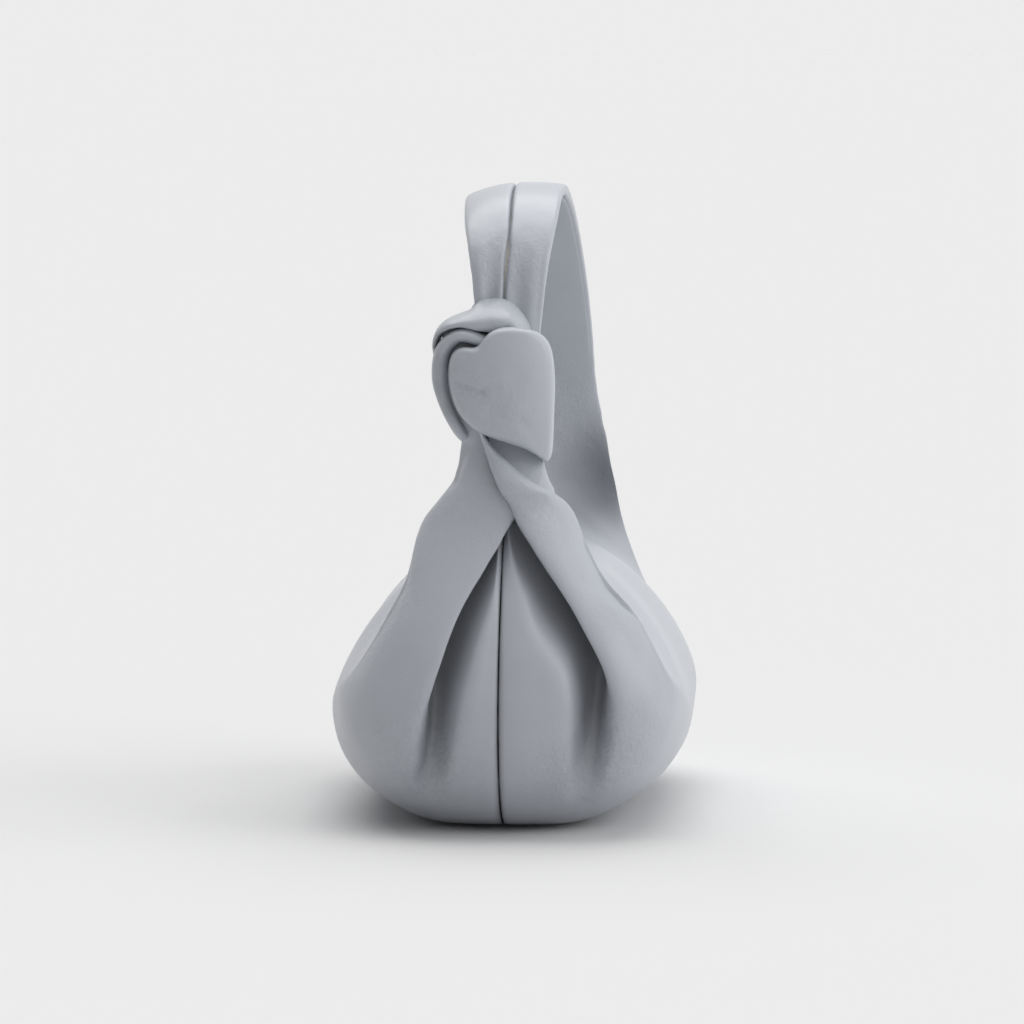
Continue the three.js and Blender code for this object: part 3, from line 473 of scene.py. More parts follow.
# The same against the inner and the outer edge of the right band, as (y, z).
BAND_INNER, BAND_OUTER = ([(share, Vector(at)) for share, at in table] for table in (
    ((0, (2.6, 124)), (0.3, (-0.8, 131)), (0.58, (-4.8, 141)), (0.86, (-8.4, 151)), (1, (-10.5, 158))),
    ((0, (26, 124)), (0.16, (23.5, 128)), (0.3, (19, 132)), (0.44, (13.5, 136)), (0.58, (7, 140.5)),
     (0.72, (1.5, 144.8)), (0.86, (-4.5, 149.5)), (1, (-9, 157)))))
BAND_LAY, BAND_HALF_THICK = 3.6, 3.2
# The roots' tops, their half sizes from the pouch up, and how fast they thin.
NEAR_TOP, FAR_UP = KNOT_AT + Vector((-2, 3, -26)), Vector((0.19, 0, 0.98))
NEAR_HALF = [(0, 26), (0.16, 22.5), (0.3, 19.8), (0.6, 17.6), (1, 16.8)]
NEAR_THICK, NEAR_THINS = (12.5, 8), 0.7
FAR_THICK, FAR_THINS = (9.5, 3.2), 0.8
NEAR_SWAY, ROOT_PULL, ROOT_ROUND = 0.8, 0.4, 0.9


def root_frame(side, share):
    """Middle, outward direction and half sizes of a strap root."""
    cut = slice_at(NEAR_END if side > 0 else FAR_END, NECK_ANGLE, 1)
    out0 = Vector((sin(cut["angle"]), 0, -cos(cut["angle"])))
    up0 = Vector((cos(cut["angle"]) * side, 0, sin(cut["angle"]) * side))
    mid0 = out0 * (cut["inner"] + cut["outer"]) / 2 + Vector((0, 0, HINGE))
    if side > 0:
        mid1, up1 = NEAR_TOP, Vector((0, 0, 1))
        half = (curve_at(NEAR_HALF, share), lerp(*NEAR_THICK, share**NEAR_THINS))
    else:
        mid1, up1 = STRAP_ROOT, FAR_UP
        thins = share**FAR_THINS
        half = (lerp(FAR_END["half"], STRAP_HALF[0][1], thins), lerp(*FAR_THICK, thins))
        mid0.y = FAR_LEAN
    reach = (mid1 - mid0).length * ROOT_PULL
    mid = Vector(bezier((mid0, mid0 + up0 * reach, mid1 - up1 * reach, mid1), share))
    mid.y -= NEAR_SWAY * 4 * share * (1 - share) if side > 0 else 0
    out1 = Vector((up1.z * side, 0, -up1.x * side))
    return mid, out0.lerp(out1, ease(share)).normalized(), half


def round_root(root, angle, scale):
    mid, out, half = root
    a = radians(angle)
    y, d = keep_sign(sin(a), ROOT_ROUND), keep_sign(cos(a), ROOT_ROUND)
    return mid + Vector((0, 1, 0)) * half[0] * scale * y + out * half[1] * scale * d


def tube_row(side, share, first, last):
    """One ring of a root: the hidden gathers inside, the leather from edge to edge, and its hem."""
    root = root_frame(side, share)
    row = [round_root(root, first + copysign(30 - 4 * k, last - first), scale)
           for k, scale in enumerate(INSIDE)]
    row += [round_root(root, lerp(first, last, step), 1.0) for step in STEPS_ROUND]
    return row + [round_root(root, last, 0.7), round_root(root, lerp(first, last, 0.94), 0.5)]


def tube_front(y, z):
    """How far out the left tube's front lies."""
    low, high = root_frame(1, 0)[0].z, root_frame(1, 1)[0].z
    mid, _, half = root_frame(1, min(max((z - low) / (high - low), 0), 1))
    across = min(abs(y - mid.y) / (half[0] + 7), 0.97)
    return mid.x + half[1] * sqrt(1 - across * across)


def band_point(share, step):
    """A point round the flattened right band: out along its front, and back behind it."""
    inner, outer = curve_at(BAND_INNER, share), curve_at(BAND_OUTER, share)
    across = 2 * step if step <= 0.5 else 2 - 2 * step
    y, z = inner.lerp(outer, across)
    swell = BAND_HALF_THICK * (1 - abs(2 * across - 1) ** 3) ** 0.5
    return Vector((tube_front(y, z) + BAND_LAY + (swell if step <= 0.5 else -swell), y, z))


def band_row(share):
    """The right root: half a tube where it leaves the pouch, then a flat band over the left one."""
    laid = ease(share, 0.0, 0.42)
    ring = tube_row(1, share, 6, 178)
    root = root_frame(1, share)
    tucked = len(INSIDE)
    flat = [band_point(share, 0.0).lerp(root[0], 0.07 * (tucked - k)) for k in range(tucked)]
    flat += [band_point(share, step) for step in STEPS_ROUND]
    flat += [band_point(share, 0.9), band_point(share, 0.8)]
    return [a.lerp(b, laid) for a, b in zip(ring, flat)]


def near_root_row(hand, share):
    if hand > 0:
        return band_row(share)
    return tube_row(1, share, curve_at(TUBE_EDGES[0], share), curve_at(TUBE_EDGES[1], share))


# %% [markdown]
# ## The strap
# Two long leathers meet along a seam on the outside of the strap, and are turned under at its edges.
# Each is one with its panel, so the same grid carries on from the far root, over the top and down
# behind the knot, where the strap is bunched.

# %% Strap
STRAP_APEX = Vector((5.0, 0.0, 247.5))
STRAP_DROP = Vector((67.5, 1.0, 216.0))
STRAP_END = Vector((71.0, 1.0, 184.0))
APEX_SHARE, DROP_SHARE = 0.58, 0.9
STRAP_THICK = 3.0
# Where the strap starts to be bunched, how far its seam drifts then, and the ridges it gets.
BUNCH_FROM, SEAM_DRIFT, RIDGE_PITCH = 0.78, -2.4, 10.5
RIDGE = {1: 1.2, -1: 1.8}
# How far the left half droops, how it bends down, and where along the strap that comes and goes.
DROOP, DROOP_BEND, DROOP_COMES, DROOP_GOES = 4.6, 1.4, (0.25, 0.5), (0.7, 0.9)
# How square the edges are, across and through, and the hem under them: inwards and up.
EDGE_ACROSS, EDGE_THROUGH = 0.55, 0.35
HEM_IN, HEM_UP = 3, 1.2
# Angles round half a strap's section, from its seam to the middle of its underside.
STRAP_TURN = (1.5, 4, 9, 16, 25, 36, 48, 60, 72, 84, 96, 108, 120, 132, 142, 152, 160, 168, 176)


def strap_middle(share):
    far = (STRAP_ROOT, STRAP_ROOT + Vector((8, 0, 42)), STRAP_APEX + Vector((-42, 0, 0)), STRAP_APEX)
    near = (STRAP_APEX, STRAP_APEX + Vector((30, 0, 0)), STRAP_DROP + Vector((-7, 0, 21)), STRAP_DROP)
    if share < APEX_SHARE:
        return Vector(bezier(far, share / APEX_SHARE))
    if share < DROP_SHARE:
        return Vector(bezier(near, (share - APEX_SHARE) / (DROP_SHARE - APEX_SHARE)))
    return STRAP_DROP.lerp(STRAP_END, (share - DROP_SHARE) / (1 - DROP_SHARE))


def strap_frame(share):
    """Middle, outward direction and half width along the strap, from the far root to the knot."""
    along = (strap_middle(min(share + 0.008, 1)) - strap_middle(max(share - 0.008, 0))).normalized()
    return strap_middle(share), Vector((-along.z, 0, along.x)), curve_at(STRAP_HALF, share)


def strap_droop(share, across):
    """How much lower the strap's left half lies, with across from -1 at its left edge to 1."""
    along = ease(share, *DROOP_COMES) * (1 - ease(share, *DROOP_GOES))
    return DROOP * along * max(-across, 0) ** DROOP_BEND


def strap_row(hand, share):
    here, out, half = strap_frame(share)
    bunch = ease(share, BUNCH_FROM, 1.0)
    seam = SEAM_DRIFT * bunch
    reach = half - hand * seam

    def at(y, d):
        ridged = 1 < y < reach - 2 and d > 0
        ridge = RIDGE[hand] * bunch * cos(2 * pi * y / RIDGE_PITCH) if ridged else 0
        across = seam + hand * y
        return here + Vector((0, across, 0)) + out * (d + ridge - strap_droop(share, across / half))

    row = [at(y, STRAP_THICK - d) for y, d in SEAM]
    for angle in STRAP_TURN:
        a = radians(angle)
        row.append(at(reach * sin(a) ** EDGE_ACROSS, STRAP_THICK * keep_sign(cos(a), EDGE_THROUGH)))
    return row + [at(-1.5, -STRAP_THICK), at(HEM_IN, HEM_UP - STRAP_THICK)]


# %% [markdown]
# ## Sewing the two leathers
# Every row has as many points, so the rows of the roots, the pouch and the strap join into one grid
# for each hand. Two levels of subdivision turn the grid into a soft skin.

# %% Leathers
NEAR_ANGLES = [8, 16, 24, 30, 35, 39, 43, 47, 51, 55, 58, 61, 64, 67, 70.5, 74]
FAR_ANGLES = [8, 16, 24, 31, 38, 45, 52, 59, 66, 72]
NEAR_ROOT_SHARES = [1.0, 0.86, 0.72, 0.58, 0.44, 0.3, 0.16]
FAR_ROOT_SHARES = [0.15, 0.4, 0.7]
STRAP_ROWS = 30


def pouch_rows(hand):
    rows = []
    for end, angles in ((NEAR_END, NEAR_ANGLES[::-1]), (FAR_END, [0] + FAR_ANGLES)):
        for angle in angles:
            cut = slice_at(end, radians(angle), hand)
            row = near_row(cut, hand) if end is NEAR_END else far_row(cut)
            rows.append([on_slice(cut, y, r, hand) for y, r in row])
    return rows


# Where the far strap's inner face sinks into the top of the pouch: place, reach and depth.
FAR_DENTS = [
    (Vector((-76, 25, 122)), Vector((13, 17, 22)), 20.0),
    (Vector((-77, -18, 124)), Vector((15, 15, 18)), 8.0),
]


def dented(p):
    for place, reach, depth in FAR_DENTS:
        away = p - place
        p = p - Vector((depth, 0, 0)) * exp(-sum((a / b) ** 2 for a, b in zip(away, reach)))
    return p


def far_root_row(hand, share):
    mid, out, half = root = root_frame(-1, share)

    def at(y, d):
        return mid + Vector((0, hand * y, 0)) + out * d

    row = [at(y, half[1] - d) for y, d in SEAM]
    row += [round_root(root, hand * angle, 1.0) for angle in STRAP_TURN]
    return row + [at(-1.2, -half[1]), at(HEM_IN, HEM_UP - half[1])]


def panel_rows(hand):
    rows = [near_root_row(hand, share) for share in NEAR_ROOT_SHARES] + pouch_rows(hand)
    rows += [far_root_row(hand, share) for share in FAR_ROOT_SHARES]
    rows = [[dented(p) for p in row] for row in rows]
    return rows + [strap_row(hand, k / STRAP_ROWS) for k in range(STRAP_ROWS + 1)]


# How much painted shade each column of a panel gets, by how deep in the fold it lies, and how deep a fold has
# its full painted shade.
COLUMN_SHADE = [1, 0.1, 0, 0.05, 0.4, 0.85, 1, 1, 0.2] + [0] * 14
FULL_SHADE_DEPTH = 22.0


def panel_painted_shade(hand):
    """How much painted shade each point of a panel gets, by how far it lies in a fold, in the order of its
    rows.
    """
    columns, tucked = len(COLUMN_SHADE), len(INSIDE)
    painted_shades = [[1.0] * tucked + [0.0] * (columns - tucked)] * len(NEAR_ROOT_SHARES)
    for angle in reversed(NEAR_ANGLES):
        cut = slice_at(NEAR_END, radians(angle), hand)
        fold_shade = min(curve_at(FOLD_DEPTH[hand], seam_height(cut)) / FULL_SHADE_DEPTH, 1.0)
        painted_shades.append(COLUMN_SHADE[:1] + [share * fold_shade for share in COLUMN_SHADE[1:]])
    plain = len(FAR_ANGLES) + 1 + len(FAR_ROOT_SHARES) + STRAP_ROWS + 1
    return painted_shades + [[0.0] * columns] * plain


def store(mesh, name, values):
    stored = mesh.attributes.get(name) or mesh.attributes.new(name, "FLOAT", "POINT")
    stored.data.foreach_set("value", values)


def grid_mesh(name, rows, hand):
    mesh = bpy.data.meshes.new(name)
    count = len(rows[0])
    points = [p * MM for row in rows for p in row]
    faces = [(i * count + j, i * count + j + 1, (i + 1) * count + j + 1, (i + 1) * count + j)
             for i in range(len(rows) - 1) for j in range(count - 1)]
    mesh.from_pydata(points, [], faces if hand < 0 else [face[::-1] for face in faces])
    return add_object(name, mesh)


def finish_soft(piece, levels, material):
    bpy.ops.object.select_all(action="DESELECT")
    bpy.context.view_layer.objects.active = piece
    piece.select_set(True)
    smooth = piece.modifiers.new("smooth", "SUBSURF")
    smooth.levels = smooth.render_levels = levels
    bpy.ops.object.modifier_apply(modifier="smooth")
    bpy.ops.object.shade_smooth()
    piece.data.materials.append(material)
    piece.select_set(False)


def soft_spots(*rows):
    return [(Vector(place), reach, depth) for place, reach, depth in rows]


# Where the leather is wrinkled: place and reach in millimetres, and how deeply.
WRINKLED = soft_spots(
    ((118, -29, 26), 26, 1.0), ((118, 43, 26), 26, 1.0), ((96, 2, 124), 24, 0.5), ((68, 2, 217), 16, 0.6),
    ((95, 2, 165), 10, 0.6), ((92, -12, 172), 10, 0.8), ((85, 50, 88), 28, 0.45),
    ((85, -44, 86), 28, 0.45), ((-82, 5, 140), 34, 0.6),
)
# Where shade is painted on the tucked-away leather: behind the knot's front, and where the far strap sinks
# into the pouch.
PAINTED_SHADE_SPOTS = soft_spots(
    ((82, -25, 181), 9, 0.3), ((80, -23, 172), 8, 0.4), ((80, -20, 165), 7, 0.5), ((-84, 27, 124), 21, 0.8))
# The wrinkles' height, the size of their coarse and fine waves, the fine ones' share, and how much of
# them the plain leather has.
WRINKLE_HEIGHT, WAVE, FINE_WAVE, FINE_SHARE, PLAIN_SHARE = 0.55, 7, 3.4, 0.6, 0.1
# Single soft creases as seen from the knotted end: across the knot's front, down the left tube and
# the strap's left half, and the slack folds on both shoulders. Both ends, depth and width of each.
CREASES = [(Vector((0, *start)), Vector((0, *end)), depth, width) for start, end, depth, width in (
    ((-18, 175), (-8, 172), 1.2, 1.8), ((-6, 163), (8, 160), 0.8, 1.8),
    ((-15, 150), (-20, 136), 1.2, 2.0), ((1.5, 226), (-6, 208), 0.5, 2.2),
    ((36, 112), (50, 92), 1.4, 5.0), ((52, 76), (66, 52), 1.3, 6.0),
    ((38, 98), (58, 86), 0.8, 4.0), ((-60, 66), (-40, 96), 0.9, 5.0),
)]
# How far out towards the knotted end the creases begin, and which faces take them.
CREASE_FROM, CREASE_FACES = (30.0, 62.0), (0.05, 0.35)
# How far the painted shade along the knot's grooves reaches to each side.
GROOVE_SHADE_REACH = 2.4


def off_line(p, start, end):
    """How far a point lies from a straight stretch."""
    along = end - start
    share = min(max((p - start).dot(along) / along.length_squared, 0), 1)
    return (p - start - along * share).length


def near_to(p, places):
    return max(depth * exp(-((p - place).length / reach) ** 2) for place, reach, depth in places)


def wrinkle(piece, grooves=()):
    """Stores how creased each point is and how much painted shade it gets in folds, tucks and grooves, and
    raises soft wrinkles.
    """
    mesh = piece.data
    normals = [v.normal.copy() for v in mesh.vertices]
    folds = [0.0] * len(mesh.vertices)
    if "fold" in mesh.attributes:
        mesh.attributes["fold"].data.foreach_get("value", folds)
    creases = []
    for k, (vertex, normal) in enumerate(zip(mesh.vertices, normals)):
        p = vertex.co / MM
        crease = near_to(p, WRINKLED)
        creases.append(crease)
        # Painted shade in tucked-away places, on faces turned towards the knotted end, and along the grooves.
        folds[k] = max(folds[k], near_to(p, PAINTED_SHADE_SPOTS) * ease(normal.x, 0.0, 0.5))
        if grooves:
            off = min(off_line(p, *line) for line in grooves)
            folds[k] = max(folds[k], exp(-(off / GROOVE_SHADE_REACH) ** 2))
        wave = noise.noise(p / WAVE) + FINE_SHARE * noise.noise(p / FINE_WAVE)
        flat = Vector((0, p.y, p.z))
        dip = sum(depth * exp(-(off_line(flat, start, end) / width) ** 2)
                  for start, end, depth, width in CREASES)
        dip *= ease(p.x, *CREASE_FROM) * ease(normal.x, *CREASE_FACES)
        vertex.co += normal * ((wave * (PLAIN_SHARE + crease) * WRINKLE_HEIGHT - dip) * MM)
    store(mesh, "crease", creases)
    store(mesh, "fold", folds)


def tube_mesh(name, ring_sets):
    """Closed tubes, one for each set of rings, in one mesh."""
    points, faces = [], []
    for rings in ring_sets:
        start, count = len(points), len(rings[0])
        points += [p * MM for ring in rings for p in ring]
        for i in range(len(rings) - 1):
            here, above = start + i * count, start + (i + 1) * count
            faces += [(here + j, above + j, above + (j + 1) % count, here + (j + 1) % count)
                      for j in range(count)]
        last = start + (len(rings) - 1) * count
        faces += [tuple(range(start, start + count)), tuple(reversed(range(last, last + count)))]
    mesh = bpy.data.meshes.new(name)
    mesh.from_pydata(points, [], faces)
    made = add_object(name, mesh)
    bpy.ops.object.select_all(action="DESELECT")
    bpy.context.view_layer.objects.active = made
    bpy.ops.object.mode_set(mode="EDIT")
    bpy.ops.mesh.select_all(action="SELECT")
    bpy.ops.mesh.normals_make_consistent(inside=False)
    bpy.ops.object.mode_set(mode="OBJECT")
    return made


HANDS = {"left": -1, "right": 1}
for label, hand in HANDS.items():
    piece = grid_mesh(f"leather_{label}", panel_rows(hand), hand)
    # Painted shade: the fold attribute darkens and dulls the leather in its folds.
    store(piece.data, "fold", [tone for row in panel_painted_shade(hand) for tone in row])
    finish_soft(piece, 2, nappa)
    wrinkle(piece)
    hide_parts(f"{label}_panel", f"near_neck_{label}", f"far_neck_{label}", f"strap_{label}")
    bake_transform(piece)
    print(piece.name, len(piece.data.polygons))

# %% Root filling
# The leather bunched inside the near root shows between the band and the tube.
ROOT_FILL = [(0, 0.8), (0.16, 0.93), (0.3, 0.95)] + [(share, 0.96) for share in (0.44, 0.58, 0.72, 0.86, 1)]
roots = [(root_frame(1, share), scale) for share, scale in ROOT_FILL]
roots.append(((KNOT_AT + Vector((-2, 2, -12)), Vector((1, 0, 0)), (14, 7)), 1.0))
rings = [[round_root(root, angle, scale) for angle in range(0, 360, 20)] for root, scale in roots]
filling = tube_mesh("root_gathers", [rings])
finish_soft(filling, 2, nappa)
wrinkle(filling)
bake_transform(filling)

# %% [markdown]
# ## Lining, pocket, core and facing
# A lining hangs just inside each leather, with a slip pocket on the right one. A webbing core stiffens
# the strap, and a facing closes its underside.

# %% Inner layers
LINING_GAP, POCKET_GAP = 2.6, 4.2
NEAR_LINED, FAR_LINED = (47, 40, 32, 24, 12), (0, 12, 24, 32, 40, 47, 56)
LINED_BELOW = (0.003, 0.2, 0.4, 0.6, 0.8, 0.93)
LINED_ABOVE = (0.0, 0.15, 0.35, 0.55, 0.75, 0.9, 1.0)
# How deep the far gathers are taken to be, and how much room all gathers get.
FAR_GATHER, GATHER_ROOM = 5.0, 1.15
POCKET_ROWS, POCKET_COLUMNS = slice(4, 9), slice(3, 10)


def cloth(name, colour, roughness, weave=None):
    """Matte cloth. A weave is given as the direction, scale and depth of its threads."""
    made = new_material(name)
    links = {}
    if weave:
        direction, scale, depth = weave
        place = node(made, "ShaderNodeTexCoord").outputs["Object"]
        threads = node(made, "ShaderNodeTexWave", {"Vector": place}, bands_direction=direction, Scale=scale)
        bump = node(made, "ShaderNodeBump", {"Height": threads.outputs[0]}, Strength=0.4, Distance=depth)
        links["Normal"] = bump.outputs[0]
    shader = node(made, "ShaderNodeBsdfPrincipled", links, Base_Color=linear(colour), Roughness=roughness)
    node(made, "ShaderNodeOutputMaterial", {"Surface": shader.outputs[0]})
    return made


def lining_rows(hand, gap):
    """Plain sections inside the leather and clear of its gathers."""
    rows = []
    for end, angles in ((NEAR_END, NEAR_LINED), (FAR_END, FAR_LINED)):
        for angle in angles:
            cut = slice_at(end, radians(angle), hand)
            height = seam_height(cut)
            gather = FAR_GATHER * ease(height, *FAR_FOLD_HEIGHTS)
            if end is NEAR_END:
                gather = curve_at(FOLD_DEPTH[hand], height)
            cut["half"] -= gap
            cut["inner"] += gap
            cut["outer"] = max(cut["outer"] - gap - GATHER_ROOM * gather, cut["widest"] + 1)
            row = [(y, outer_r(cut, y)) for y in (share * cut["half"] for share in LINED_BELOW)]
            row += [top_point(cut, share) for share in LINED_ABOVE]
            rows.append([on_slice(cut, y, r, hand) for y, r in row])
    return rows


lining = cloth("microsuede_lining", "#8D8A88", 0.9)
for label, hand in HANDS.items():
    piece = grid_mesh(f"lining_{label}", lining_rows(hand, LINING_GAP), hand)
    finish_soft(piece, 1, lining)
    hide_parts(f"{label}_lining")
    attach(piece, "pouch")

rows = lining_rows(HANDS["right"], POCKET_GAP)[POCKET_ROWS]
pocket = grid_mesh("slip_pocket_cloth", [row[POCKET_COLUMNS] for row in rows], HANDS["right"])
finish_soft(pocket, 1, lining)
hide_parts("slip_pocket")
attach(pocket, "pouch")


# %% Strap core and facing
def flat_ring(here, out, half, low, high, droop=None):
    """A flat section, half its width across and from low to high through it."""
    steps = (-1, -0.97, -0.6, 0, 0.6, 0.97, 1)
    depths = [(low + high) / 2] + [low] * 5 + [(low + high) / 2]
    corners = list(zip(steps, depths)) + [(share, high) for share in reversed(steps[1:-1])]
    return [here + Vector((0, half * share, 0)) + out * (d - (droop(share) if droop else 0))
            for share, d in corners]


def strap_rings(inset, low, high, sinks=()):
    """Rings along the strap; a table of share and depth lets the far end sink into the leather."""
    rings = []
    for k in range(STRAP_ROWS + 1):
        share = k / STRAP_ROWS
        here, out, half = strap_frame(share)
        sunk = curve_at(sinks, share) if sinks else 0
        rings.append(flat_ring(here, out, half - inset, low + sunk, high + sunk,
                               lambda across: strap_droop(share, across)))
    return rings


CORE_INSET, CORE_HALF_THICK = 2.6, 1.0
FACING_INSET, FACING, FACING_LAP = 1.4, 0.8, 0.2
FACING_SINK = [(0, 1.5), (0.1, 0.7), (0.3, 0)]
# At this scale the threads lie 0.6 mm apart.
webbing = cloth("cotton_webbing", "#C9C6BE", 0.9, ("X", 500.0, 0.0003))
core = tube_mesh("strap_webbing", [strap_rings(CORE_INSET, -CORE_HALF_THICK, CORE_HALF_THICK)])
finish_soft(core, 1, webbing)
facing_piece = tube_mesh("strap_underside", [
    strap_rings(FACING_INSET, -STRAP_THICK - FACING, FACING_LAP - STRAP_THICK, FACING_SINK)])
finish_soft(facing_piece, 2, inner_leather)
for piece, name, label in ((core, "strap_core", "webbing"), (facing_piece, "strap_facing", "inner_leather")):
    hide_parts(name)
    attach(piece, "strap")

# %% [markdown]
# ## Zip
# The tapes are woven, the pull is a folded strip of the same leather, and the hard parts are nickel.
# A row of stitches holds each tape under its lip.

# %% Zip
nickel = new_material("polished_nickel")
scuffs = node(nickel, "ShaderNodeTexNoise", {"Vector": node(nickel, "ShaderNodeTexCoord").outputs["Object"]},
              Scale=900.0, Detail=3.0)
gloss = node(nickel, "ShaderNodeMapRange", {"Value": scuffs.outputs[0]}, To_Min=0.2, To_Max=0.34)
shader = node(nickel, "ShaderNodeBsdfPrincipled", {"Roughness": gloss.outputs[0]}, Metallic=1.0,
              Base_Color=linear("#C8C7C2"))
node(nickel, "ShaderNodeOutputMaterial", {"Surface": shader.outputs[0]})

# The twill's lines lie about 0.6 mm apart on the flat of the tape.
tape = cloth("woven_zip_tape", "#83878F", 0.85, ("DIAGONAL", 800.0, 0.0002))

for name, cad_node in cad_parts.items():
    if name.startswith("zip_") and "tape" not in name and "strip" not in name:
        for part in cad_node.material_slots:
            part.material = nickel

# The tapes meet past the chain's two ends, and turn up there under the leather.
TAPE_TAIL, TAPE_RISE, TAPE_TIP, TAPE_MEET = 7.0, 3.6, 2.6, 0.1
CHAIN_FROM, CHAIN_TO, TAPE_STEP = -47.8, 59.0, 0.2
for label, hand in HANDS.items():
    low, high = (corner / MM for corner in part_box(f"zip_tape_{label}"))
    inner, outer = sorted((abs(low.y), abs(high.y)))
    rings = []
    for x, y0, y1, rise in (
            (low.x - TAPE_TAIL, TAPE_MEET, TAPE_TIP, TAPE_RISE), (low.x, TAPE_MEET, outer, 0),
            (CHAIN_FROM, TAPE_MEET, outer, 0), (CHAIN_FROM + TAPE_STEP, inner, outer, 0),
            (CHAIN_TO - TAPE_STEP, inner, outer, 0), (CHAIN_TO, TAPE_MEET, outer, 0),
            (high.x + TAPE_TAIL, TAPE_MEET, TAPE_TIP, TAPE_RISE)):
        corners = ((y0, low.z), (y1, low.z), (y1, high.z), (y0, high.z))
        rings.append([Vector((x, hand * y, z + rise)) for y, z in corners])
    piece = tube_mesh(f"tape_{label}", [rings])
    piece.data.materials.append(tape)
    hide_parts(f"zip_tape_{label}")
    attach(piece, "pouch")

# %% Zip pull
PULL_THICK, PULL_EYE, PULL_STEP, PULL_STEPS = 0.8, 1.55, 4, 5
low, high = (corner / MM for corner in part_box("zip_pull_strip"))
eye = Vector((high.x - PULL_EYE - PULL_THICK / 2, 0, (low.z + high.z) / 2))
along_strip = [low.x + k * PULL_STEP for k in range(PULL_STEPS)]
strip = [Vector((x, 0, eye.z - PULL_THICK / 2)) for x in along_strip]
for turn in range(-150, 151, 30):
    strip.append(eye + PULL_EYE * Vector((cos(radians(turn)), 0, sin(radians(turn)))))
strip += [Vector((x, 0, eye.z + PULL_THICK / 2)) for x in reversed(along_strip)]
rings = []
for k, here in enumerate(strip):
    along = (strip[min(k + 1, len(strip) - 1)] - strip[max(k - 1, 0)]).normalized()
    out = Vector((along.z, 0, -along.x))
    rings.append(flat_ring(here, out, (high.y - low.y) / 2, -PULL_THICK / 2, PULL_THICK / 2))
pull = tube_mesh("pull_strip", [rings])
finish_soft(pull, 1, inner_leather)
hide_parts("zip_pull_strip")
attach(pull, "puller")

# %% Stitches
STITCH, STITCH_PITCH, STITCH_RADIUS, STITCH_INSET = 2.6, 3.8, 0.4, 3.4
STITCH_FROM, STITCHES = -52, 28
# Along a stitch: share of its length, share of its radius, and rise.
STITCH_SHAPE = ((0, 0.4, -0.25), (0.25, 1, 0.1), (0.75, 1, 0.1), (1, 0.4, -0.25))


def lip_point(x, hand):
    """A point of the leather's top beside the zip."""
    cut = slice_at(NEAR_END if x > 0 else FAR_END, atan2(abs(x), HINGE - MOUTH), hand)
    share = acos(STITCH_INSET / (cut["half"] - cut["lip"])) * 2 / pi
    return on_slice(cut, *top_point(cut, share), hand)


def stitch_rings(start, end):
    along = (end - start).normalized()
    side, up = Vector((0, 1, 0)), along.cross(Vector((0, 1, 0)))
    up = up if up.z > 0 else -up
    rings = []
    for share, size, rise in STITCH_SHAPE:
        turns = [pi * k / 3 for k in range(6)]
        middle = start.lerp(end, share) + up * rise
        rings.append([middle + (side * cos(t) + up * sin(t)) * STITCH_RADIUS * size for t in turns])
    return rings


for label, hand in HANDS.items():
    starts = [STITCH_FROM + k * STITCH_PITCH for k in range(STITCHES)]
    piece = tube_mesh(f"lip_stitches_{label}", [
        stitch_rings(lip_point(x, hand), lip_point(x + STITCH, hand)) for x in starts])
    finish_soft(piece, 1, tape)
    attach(piece, "pouch")

# %% [markdown]
# ## The knot
# The strap is tied once on itself. It climbs out of the roots, rolls over the top and down the left
# side, passes behind, comes round the right side, spreads across the front, tucks in on the left and
# leaves upwards. Where it rolls over, it is folded along its length, so a second roll lies behind.
# The rolls are bands swept along a route, and the front is a cushion inside its own outline.

# %% Knot
# Each row: across, up and out from the knot's middle, half width, half thickness, and the way the
# width lies, all as seen from the knotted end.
ACROSS, DOWN, OUT = (1, 0, 0), (0, -1, 0), (0, 0, 1)
KNOT_ROUTE = [
    (2, -40, -3, 13, 6, ACROSS),
    (2, -27, -3, 12.5, 6, ACROSS),
    (2, -10, -2, 12, 5.5, ACROSS),
    (5, 2, -1, 9, 5, ACROSS),
    (2, 8.5, 0, 6, 4, (0.5, 0.2, 0.8)),
    (-4.2, 10.8, 7, 5.5, 2.8, OUT),
    (-9.6, 12.7, 6.8, 5.5, 2.8, OUT),
    (-13.5, 12.8, 5.8, 5.5, 2.8, OUT),
    (-17, 10.9, 4.4, 5.5, 3, OUT),
    (-19.8, 7.3, 3, 5.5, 3.3, OUT),
    (-20.9, 3.1, 1.6, 5.6, 3.6, OUT),
    (-21.2, -2.2, 1, 5.8, 3.7, OUT),
    (-20.9, -6.7, 0.5, 6, 3.6, OUT),
    (-19.3, -12.6, 0, 6, 3.4, OUT),
    (-16.2, -19.8, -0.5, 6, 3.3, OUT),
    (-12, -26.4, -3, 6.5, 3.2, (0, -0.1, 1)),
    (-9, -25, -11, 9, 4.2, (0, -0.5, 0.85)),
    (0, -19, -17, 13, 4.6, (0, -0.9, 0.3)),
    (12, -13, -16, 16, 4.2, DOWN),
    (18.4, -10.5, -8, 20, 3.8, DOWN),
    (19.3, -10.8, 0, 20.6, 3.6, DOWN),
    (17, -10.5, 7, 19.5, 3.4, DOWN),
]
